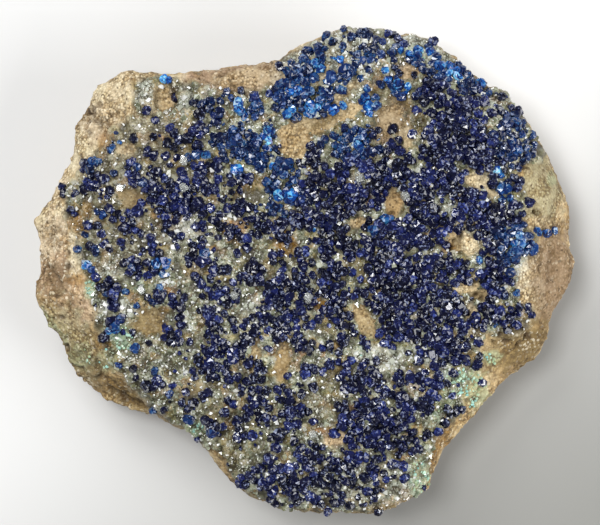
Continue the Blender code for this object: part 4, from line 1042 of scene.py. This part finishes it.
def make_apophyllite(ground, clear, milky, dice):
    """The larger clear blocks, and the milky ones that flash white."""
    nodes = sorted(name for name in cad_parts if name.startswith("apophyllite"))
    blocks = Heap(())
    taken = []
    for node in nodes:
        low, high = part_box(node)
        middle = (low + high) / 2.0 / MM
        taken.append(middle)
        blocks.add(apophyllite_block(dice), middle, (high.x - low.x) / MM / 2.0,
                   toward_light(dice, BLOCK_LOOSENESS))
    blocks.join("apophyllite_blocks", clear, "apophyllite", nodes)

    glints = Heap(())
    spots = [(glint.x, glint.y, glint.width) for glint in GLINTS]
    specks = np.array(even_scatter(FIELD_EDGE, SPECK_SPACING, SPECK_TRIES, dice))
    sandy = cover(specks[:, 0], specks[:, 1], np.zeros(len(specks)), SAND)
    for (x, y), bare in zip(specks.tolist(), sandy.tolist()):
        if dice.random() < SPECK_SHARE * (1.0 - bare):
            spots.append((x, y, dice.uniform(*SPECK_WIDTH)))
    for x, y, width in spots:
        foot = ground.foot(x, y)
        if foot is None or min(math.hypot(x - block.x, y - block.y) for block in taken) < BLOCK_CLEAR:
            continue
        glints.add(apophyllite_chip(dice), foot[0] + UP * GLINT_LIFT, GLINT_RADIUS * width,
                   toward_light(dice, GLINT_LOOSENESS))
    glints.join("apophyllite_glints", milky, "apophyllite", ())


def green_bead(dice):
    """A roundish bead of radius 1."""
    corners = [Vector([dice.gauss(0.0, 1.0) for _ in range(3)]).normalized() for _ in range(BEAD_CORNERS)]
    return closed_hull(corners, dice)


def make_green_beads(ground, finish, dice):
    """The pale green skin of small round beads where copper has stained the rock."""
    widened = [(BEAD_FIELD * x, BEAD_FIELD * y) for x, y in FIELD_EDGE]
    places = even_scatter(widened, BEAD_SPACING, BEAD_TRIES, dice)
    green = surface_masks(on_plan(places))["green"]
    kinds = [green_bead(dice) for _ in range(BEAD_KINDS)]
    heap = Heap(())
    for i, (x, y) in enumerate(places):
        foot = ground.foot(x, y)
        if foot is None or foot[1].z < BEAD_STEEP:
            continue
        if dice.random() > BEAD_GREEN * green[i] - BEAD_MISSING:
            continue
        radius = dice.uniform(*BEAD_RADIUS)
        heap.add(dice.choice(kinds), foot[0] + UP * BEAD_LIFT, radius, any_turn(dice))
    return heap.join("green_beads", finish, "matrix", ())


def add(tree, kind, inputs=None, stops=(), **settings):
    """Add a shader node: its settings, its inputs, each a value or a socket, and a ramp's stops."""
    made = tree.nodes.new("ShaderNode" + kind)
    for name, value in settings.items():
        setattr(made, name, value)
    for name, value in (inputs or {}).items():
        if isinstance(value, bpy.types.NodeSocket):
            tree.links.new(value, made.inputs[name])
        else:
            made.inputs[name].default_value = value
    if stops:
        elements = made.color_ramp.elements
        while len(elements) < len(stops):
            elements.new(1.0)
        for element, (place, colour) in zip(elements, stops):
            element.position = place
            element.color = linear(colour)
    return made


def new_finish(name):
    """An empty material: its node tree and its surface socket."""
    finish = bpy.data.materials.new(name)
    finish.use_nodes = True
    tree = finish.node_tree
    tree.nodes.clear()
    output = add(tree, "OutputMaterial")
    return finish, tree, output.inputs["Surface"]


def per_mm(size):
    """The texture scale whose pattern repeats about once in so many millimetres."""
    return 1.0 / (size * MM)


def stain(tree, colour, stains):
    """Lay stains over a colour, each where the surface's mask of that name is."""
    for name, shade, strength in stains:
        mask = add(tree, "Attribute", attribute_name=name)
        share = add(tree, "Math", {0: mask.outputs["Fac"], 1: strength}, operation="MULTIPLY")
        colour = add(tree, "Mix", {MIX_SHARE: share.outputs[0], MIX_BELOW: colour,
                                   MIX_ABOVE: linear(shade)}, data_type="RGBA").outputs[MIX_RESULT]
    return colour


def iron_patches(tree, spot):
    """Patches of a millimetre or two where iron has soaked in: how much is there, and its colour."""
    iron = add(tree, "TexNoise", {"Vector": spot, "Scale": per_mm(2.0), "Detail": 3.0})
    soaked = add(tree, "MapRange", {"Value": iron.outputs["Fac"], "From Min": 0.51,
                                    "From Max": 0.58, "To Max": 0.72})
    rusting = add(tree, "TexNoise", {"Vector": spot, "Scale": per_mm(4.5), "Detail": 2.0})
    ochre = add(tree, "ValToRGB", {"Fac": rusting.outputs["Fac"]},
                stops=((0.36, "8E8A52"), (0.5, "A68E52"), (0.62, "A87A3E"), (0.7, "985C30")))
    return soaked.outputs[0], ochre.outputs["Color"]


def weathered_skarn():
    """Skarn, a limestone baked to garnet and silicate, broken by hammer and weathered.

    To the eye: dead matt, gritty, tan going to cream and pinkish brown, freckled with dark pores.
    """
    finish, tree, surface = new_finish("weathered skarn")
    spot = add(tree, "TexCoord").outputs["Object"]
    broad = add(tree, "TexNoise", {"Vector": spot, "Scale": per_mm(5.0), "Detail": 4.0})
    tan = add(tree, "ValToRGB", {"Fac": broad.outputs["Fac"]},
              stops=((0.3, "B89F70"), (0.45, "DAC295"), (0.6, "ECDAB2"), (0.76, "F8EFD8")))
    # Mottling of a millimetre or so, between pinkish white and brown
    mottle = add(tree, "TexNoise", {"Vector": spot, "Scale": per_mm(1.3), "Detail": 5.0,
                                    "Roughness": 0.65})
    mottled = add(tree, "ValToRGB", {"Fac": mottle.outputs["Fac"]},
                  stops=((0.3, "8E7C68"), (0.45, "C8BCA8"), (0.56, "F0EAE0"), (0.7, "FFFFFF")))
    tan = add(tree, "Mix", {MIX_SHARE: 0.8, MIX_BELOW: tan.outputs["Color"],
                            MIX_ABOVE: mottled.outputs["Color"]},
              data_type="RGBA", blend_type="MULTIPLY")
    colour = stain(tree, tan.outputs[MIX_RESULT], (
        ("cream", "FFF6D6", 0.85), ("pink", "D0B4A0", 0.75), ("brown", "877354", 0.7)))

    # The druse between the crystals is the rock seen through a thin glassy coat: greyer and greener
    coat = add(tree, "TexNoise", {"Vector": spot, "Scale": per_mm(2.4), "Detail": 5.0})
    glassy = add(tree, "ValToRGB", {"Fac": coat.outputs["Fac"]},
                 stops=((0.24, "404230"), (0.38, "696C55"), (0.5, "8F937A"), (0.62, "AEB49C"),
                        (0.74, "D2D6C8")))
    soaked, ochre = iron_patches(tree, spot)
    glassy = add(tree, "Mix", {MIX_SHARE: soaked, MIX_BELOW: glassy.outputs["Color"],
                               MIX_ABOVE: ochre}, data_type="RGBA")
    druse = add(tree, "Attribute", attribute_name="druse")
    colour = add(tree, "Mix", {MIX_SHARE: druse.outputs["Fac"], MIX_BELOW: colour,
                               MIX_ABOVE: glassy.outputs[MIX_RESULT]},
                 data_type="RGBA").outputs[MIX_RESULT]
    # The light tan of the sand is partly painted light that lifts the deep sandy hollows out of their shade
    colour = stain(tree, colour, (
        ("pale", "CED2C2", 0.65), ("cream", "E6D9B8", 0.5), ("brown", "86705A", 0.5),
        ("sand", "DCCAA4", 0.5), ("rust", "A87A30", 0.8), ("olive", "7C6A38", 0.7),
        ("green", "B0C09C", 0.7), ("frost", "D4D6CA", 0.5)))

    # The rock's own grains, about 0.35 mm, each a little lighter or darker than the next
    grains = add(tree, "TexVoronoi", {"Vector": spot, "Scale": per_mm(0.36)})
    each = add(tree, "SeparateColor", {"Color": grains.outputs["Color"]})
    freckle = add(tree, "ValToRGB", {"Fac": each.outputs["Red"]},
                  stops=((0.0, "8E7A60"), (0.3, "CABAA0"), (0.7, "EEE6D6"), (1.0, "FFFFFF")))
    peppered = add(tree, "TexNoise", {"Vector": spot, "Scale": per_mm(3.0), "Detail": 3.0})
    clean = add(tree, "MapRange", {"Value": peppered.outputs["Fac"], "From Min": 0.42,
                                   "From Max": 0.58, "To Min": 0.4})
    bareness = add(tree, "MapRange", {"Value": druse.outputs["Fac"], "To Min": 0.9, "To Max": 0.6})
    freckled = add(tree, "Math", {0: bareness.outputs[0], 1: clean.outputs[0]},
                   operation="MULTIPLY")
    colour = add(tree, "Mix", {MIX_SHARE: freckled.outputs[0], MIX_BELOW: colour,
                               MIX_ABOVE: freckle.outputs["Color"]},
                 data_type="RGBA", blend_type="MULTIPLY").outputs[MIX_RESULT]
    # The gaps between the grains hold dirt and painted shade
    gaps = add(tree, "MapRange", {"Value": grains.outputs["Distance"], "From Min": 0.4,
                                  "From Max": 0.7, "To Max": 0.7})
    grain_gap_dirt_and_shade = add(tree, "Math", {0: gaps.outputs[0], 1: clean.outputs[0]}, operation="MULTIPLY")
    # Nearly black grains, common in some patches and missing in others, and scattered cream ones
    black = add(tree, "Math", {0: peppered.outputs["Fac"], 1: each.outputs["Blue"]},
                operation="SUBTRACT")
    black = add(tree, "MapRange", {"Value": black.outputs[0], "From Min": 0.42, "From Max": 0.48,
                                   "To Max": 0.65})
    specks = add(tree, "MapRange", {"Value": each.outputs["Green"], "From Min": 0.82, "To Max": 0.6})
    broken = add(tree, "Attribute", attribute_name="rough")
    broken = add(tree, "MapRange", {"Value": broken.outputs["Fac"], "To Min": 0.25})
    specks = add(tree, "Math", {0: specks.outputs[0], 1: broken.outputs[0]}, operation="MULTIPLY")
    # Pinholes about 0.3 mm wide and a millimetre apart, which the sandy rock is full of, painted dark with
    # painted shade in the holes
    holes = add(tree, "TexVoronoi", {"Vector": spot, "Scale": per_mm(0.9)})
    pinhole = add(tree, "MapRange", {"Value": holes.outputs["Distance"], "From Min": 0.22,
                                     "From Max": 0.1, "To Max": 0.8})
    dry = add(tree, "Math", {0: 1.0, 1: druse.outputs["Fac"]}, operation="SUBTRACT")
    pinhole = add(tree, "Math", {0: pinhole.outputs[0], 1: dry.outputs[0]}, operation="MULTIPLY")
    for share, shade in ((grain_gap_dirt_and_shade, "6A5636"), (black, "4A3A26"), (specks, "F4EAD0"), (pinhole, "4C3A22")):
        colour = add(tree, "Mix", {MIX_SHARE: share.outputs[0], MIX_BELOW: colour,
                                   MIX_ABOVE: linear(shade)},
                     data_type="RGBA").outputs[MIX_RESULT]
    # Dirt and painted shade in the pores, the hollows of the grit and the cracks
    # Painted shade in the gaps between the druse's domes
    colour = stain(tree, colour, (("pore_dirt_and_shade", "3E2C18", 0.85), ("gap", "332E1E", 0.85),
                                  # Painted shade under crowded kinoite, navy with a tint of tiny kinoite
                                  ("crowd", "12122E", 0.88)))

    rough = add(tree, "MapRange", {"Value": druse.outputs["Fac"], "To Min": 0.93, "To Max": 0.4})
    sunk = add(tree, "Math", {0: each.outputs["Blue"], 1: pinhole.outputs[0]}, operation="SUBTRACT")
    sunk = add(tree, "Math", {0: grains.outputs["Distance"], 1: -1.4, 2: sunk.outputs[0]},
               operation="MULTIPLY_ADD")
    bump = add(tree, "Bump", {"Strength": 0.8, "Distance": 0.09 * MM, "Height": sunk.outputs[0]})
    shader = add(tree, "BsdfPrincipled", {
        "Base Color": colour, "Roughness": rough.outputs[0], "Normal": bump.outputs[0]})
    tree.links.new(shader.outputs[0], surface)
    return finish


def kinoite():
    """Kinoite, a copper calcium silicate, grown in water-clear to inky blades with a glassy lustre.

    To the eye: navy to violet-black where it is thick, royal to azure where light gets through, with
    sharp small highlights on its flat faces.
    """
    finish, tree, surface = new_finish("kinoite")
    spot = add(tree, "TexCoord").outputs["Object"]
    tone = add(tree, "Attribute", attribute_name="tone")
    shade = add(tree, "Attribute", attribute_name="shade")
    azure = add(tree, "Attribute", attribute_name="azure")

    # Each crystal has its depth of colour, and each of its flat sides gets a random painted shade for the
    # light it lets out; the palest azure sides are painted highlights
    thick = add(tree, "Mix", {MIX_SHARE: 0.45, MIX_FIRST: tone.outputs["Fac"],
                              MIX_SECOND: shade.outputs["Fac"]}, data_type="FLOAT")
    navy = add(tree, "ValToRGB", {"Fac": thick.outputs[0]},
               stops=((0.15, "040514"), (0.4, "080B26"), (0.6, "0E1338"), (0.8, "192154"),
                      (0.95, "2C3A7A")))
    thin = add(tree, "Mix", {MIX_SHARE: 0.7, MIX_FIRST: tone.outputs["Fac"],
                             MIX_SECOND: shade.outputs["Fac"]}, data_type="FLOAT")
    bright = add(tree, "ValToRGB", {"Fac": thin.outputs[0]},
                 stops=((0.15, "0A2058"), (0.42, "104290"), (0.62, "206EC0"), (0.78, "409CD8"),
                        (0.9, "88CEEA"), (0.98, "DEF3FA")))
    colour = add(tree, "Mix", {MIX_SHARE: azure.outputs["Fac"], MIX_BELOW: navy.outputs["Color"],
                               MIX_ABOVE: bright.outputs["Color"]},
                 data_type="RGBA").outputs[MIX_RESULT]
    # Painted highlights: small glimmers of paler blue, painted where light would come out of the crystal
    # toward the eye
    gleam = add(tree, "TexNoise", {"Vector": spot, "Scale": per_mm(0.34), "Detail": 1.0})
    gleam = add(tree, "Mix", {MIX_SHARE: 0.3, MIX_FIRST: gleam.outputs["Fac"],
                              MIX_SECOND: shade.outputs["Fac"]}, data_type="FLOAT")
    gleam = add(tree, "MapRange", {"Value": gleam.outputs[0], "From Min": 0.62,
                                   "From Max": 0.72, "To Max": 0.62})
    colour = add(tree, "Mix", {MIX_SHARE: gleam.outputs[0], MIX_BELOW: colour,
                               MIX_ABOVE: linear("8E98B4")},
                 data_type="RGBA").outputs[MIX_RESULT]
    wavy = add(tree, "TexNoise", {"Vector": spot, "Scale": per_mm(0.5), "Detail": 1.0})
    bump = add(tree, "Bump", {"Strength": 0.35, "Distance": 0.1 * MM, "Height": wavy.outputs["Fac"]})
    shader = add(tree, "BsdfPrincipled", {
        "Base Color": colour, "Roughness": 0.16, "IOR": 1.64, "Specular IOR Level": 0.38,
        "Normal": bump.outputs[0]})
    tree.links.new(shader.outputs[0], surface)
    return finish


def apophyllite_druse():
    """Apophyllite grown as a druse of half-millimetre blocks, glassy and a little cloudy.

    To the eye: wet-looking grains, from grey and olive to white, tinted by the rock beneath.
    """
    finish, tree, surface = new_finish("apophyllite druse")
    tone = add(tree, "Attribute", attribute_name="tone")
    shade = add(tree, "Attribute", attribute_name="shade")
    mixed = add(tree, "Mix", {MIX_SHARE: 0.35, MIX_FIRST: tone.outputs["Fac"],
                              MIX_SECOND: shade.outputs["Fac"]}, data_type="FLOAT")
    grains = add(tree, "ValToRGB", {"Fac": mixed.outputs[0]},
                 stops=((0.14, "434430"), (0.3, "6E735A"), (0.46, "9EA288"), (0.6, "CAD0BE"),
                        (0.7, "FBFCFA")))
    spot = add(tree, "TexCoord").outputs["Object"]
    soaked, ochre = iron_patches(tree, spot)
    lit = add(tree, "Mix", {MIX_SHARE: 0.6, MIX_BELOW: grains.outputs["Color"],
                            MIX_ABOVE: ochre}, data_type="RGBA")
    colour = add(tree, "Mix", {MIX_SHARE: soaked, MIX_BELOW: grains.outputs["Color"],
                               MIX_ABOVE: lit.outputs[MIX_RESULT]},
                 data_type="RGBA").outputs[MIX_RESULT]
    colour = stain(tree, colour, (
        ("cream", "E2D6B6", 0.5), ("pink", "C7A084", 0.5), ("brown", "8F7049", 0.6),
        ("rust", "A87A30", 0.75), ("olive", "7C6A38", 0.6), ("green", "A4C0A2", 0.6),
        ("frost", "E4E6DC", 0.55)))
    shader = add(tree, "BsdfPrincipled", {
        "Base Color": colour, "Roughness": 0.12, "IOR": 1.536, "Transmission Weight": 0.4})
    tree.links.new(shader.outputs[0], surface)
    return finish


def clear_apophyllite():
    """Clear apophyllite: colourless crystal with a glassy skin, seen as bright edges and flashes."""
    finish, tree, surface = new_finish("clear apophyllite")
    shader = add(tree, "BsdfPrincipled", {
        "Base Color": linear("F2F5F1"), "Roughness": 0.1, "IOR": 1.536, "Transmission Weight": 0.8})
    tree.links.new(shader.outputs[0], surface)
    return finish


def milky_apophyllite():
    """Apophyllite with a cloudy body and a pearly end face, which shows as white flashes."""
    finish, tree, surface = new_finish("milky apophyllite")
    shader = add(tree, "BsdfPrincipled", {
        "Base Color": linear("F4F5F1"), "Roughness": 0.16, "IOR": 1.536, "Transmission Weight": 0.3})
    tree.links.new(shader.outputs[0], surface)
    return finish


def copper_green():
    """A skin of copper silicate beads with a waxy surface: pale green going to aqua."""
    finish, tree, surface = new_finish("copper green")
    spot = add(tree, "TexCoord").outputs["Object"]
    copper = add(tree, "TexNoise", {"Vector": spot, "Scale": per_mm(2.2), "Detail": 3.0})
    beads = add(tree, "ValToRGB", {"Fac": copper.outputs["Fac"]},
                stops=((0.38, "98A680"), (0.46, "A4BA98"), (0.54, "A2C0AC"), (0.64, "82B6AE")))
    shader = add(tree, "BsdfPrincipled", {
        "Base Color": beads.outputs["Color"], "Roughness": 0.45, "IOR": 1.5})
    tree.links.new(shader.outputs[0], surface)
    return finish


def matt_paper():
    """Pale matt paper for the specimen to lie on, darkened towards the lower right with painted shade."""
    finish, tree, surface = new_finish("matt paper")
    spot = add(tree, "TexCoord").outputs["Object"]
    fibre = add(tree, "TexNoise", {"Vector": spot, "Scale": per_mm(1.5), "Detail": 3.0})
    bump = add(tree, "Bump", {"Strength": 0.1, "Distance": 0.05 * MM, "Height": fibre.outputs["Fac"]})
    # Painted shade: the paper darkens towards the lower right, as if the light falls off there
    axes = add(tree, "SeparateXYZ", {"Vector": spot})
    away = add(tree, "Math", {0: axes.outputs["Y"], 1: -1.6, 2: axes.outputs["X"]},
               operation="MULTIPLY_ADD")
    tone = add(tree, "MapRange", {"Value": away.outputs[0], "From Min": -30.0 * MM,
                                  "From Max": 110.0 * MM}, interpolation_type="SMOOTHSTEP")
    colour = add(tree, "Mix", {MIX_SHARE: tone.outputs[0], MIX_BELOW: linear("D2D2D1"),
                               MIX_ABOVE: linear("858581")}, data_type="RGBA")
    shader = add(tree, "BsdfPrincipled", {
        "Base Color": colour.outputs[MIX_RESULT], "Roughness": 0.9, "Normal": bump.outputs[0]})
    tree.links.new(shader.outputs[0], surface)
    return finish


def make_floor():
    """The pale floor, which isn't part of the specimen."""
    h = FLOOR_HALF_WIDTH
    mesh = bpy.data.meshes.new("floor")
    mesh.from_pydata([(-h, -h, 0.0), (h, -h, 0.0), (h, h, 0.0), (-h, h, 0.0)], [], [(0, 1, 2, 3)])
    mesh.materials.append(matt_paper())
    floor = put("floor", mesh)


def make_lamp(name, direction, size, power):
    """A soft square lamp that shines on the specimen from a direction."""
    light = bpy.data.lights.new(name, "AREA")
    light.size = size
    light.energy = power
    lamp = put(name, light)
    toward = Vector(direction).normalized()
    lamp.location = toward * LAMP_DISTANCE
    lamp.rotation_euler = toward.to_track_quat("Z", "Y").to_euler()
    lamp.visible_camera = False


def make_studio():
    """The three soft lamps and pale surroundings."""
    for lamp in LAMPS:
        make_lamp(*lamp)
    world = bpy.data.worlds.new("pale studio")
    world.use_nodes = True
    background = world.node_tree.nodes["Background"]
    background.inputs["Color"].default_value = linear("F2F4F8")
    background.inputs["Strength"].default_value = SURROUNDINGS
    bpy.context.scene.world = world
    bpy.context.scene.view_settings.view_transform = "Standard"


def make_camera():
    """Straight above, framed so that the outline fills the picture as it does the photograph."""
    lens = bpy.data.cameras.new("camera")
    lens.lens = LENS
    camera = put("camera", lens)
    across = (PICTURE_WIDTH / 2.0 - OUTLINE_MIDDLE[0]) * MM_PER_PIXEL
    up = (OUTLINE_MIDDLE[1] - PICTURE_HEIGHT / 2.0) * MM_PER_PIXEL
    distance = PICTURE_WIDTH * MM_PER_PIXEL * lens.lens / lens.sensor_width
    camera.location = Vector((across, up, RIM_LEVEL + distance)) * MM
    bpy.context.scene.camera = camera


def dress():
    """Every piece of the specimen, then what it is seen with."""
    rock = make_rock(weathered_skarn())
    ground = Ground([rock.data], ["matrix_rock"])
    balls = make_kinoite(ground, kinoite(), random.Random(21))
    paint_crowd_shade(rock, balls)
    make_druse(ground, balls, apophyllite_druse(), random.Random(22))
    make_apophyllite(ground, clear_apophyllite(), milky_apophyllite(), random.Random(23))
    make_green_beads(ground, copper_green(), random.Random(24))
    make_floor()
    make_studio()
    make_camera()


dress()
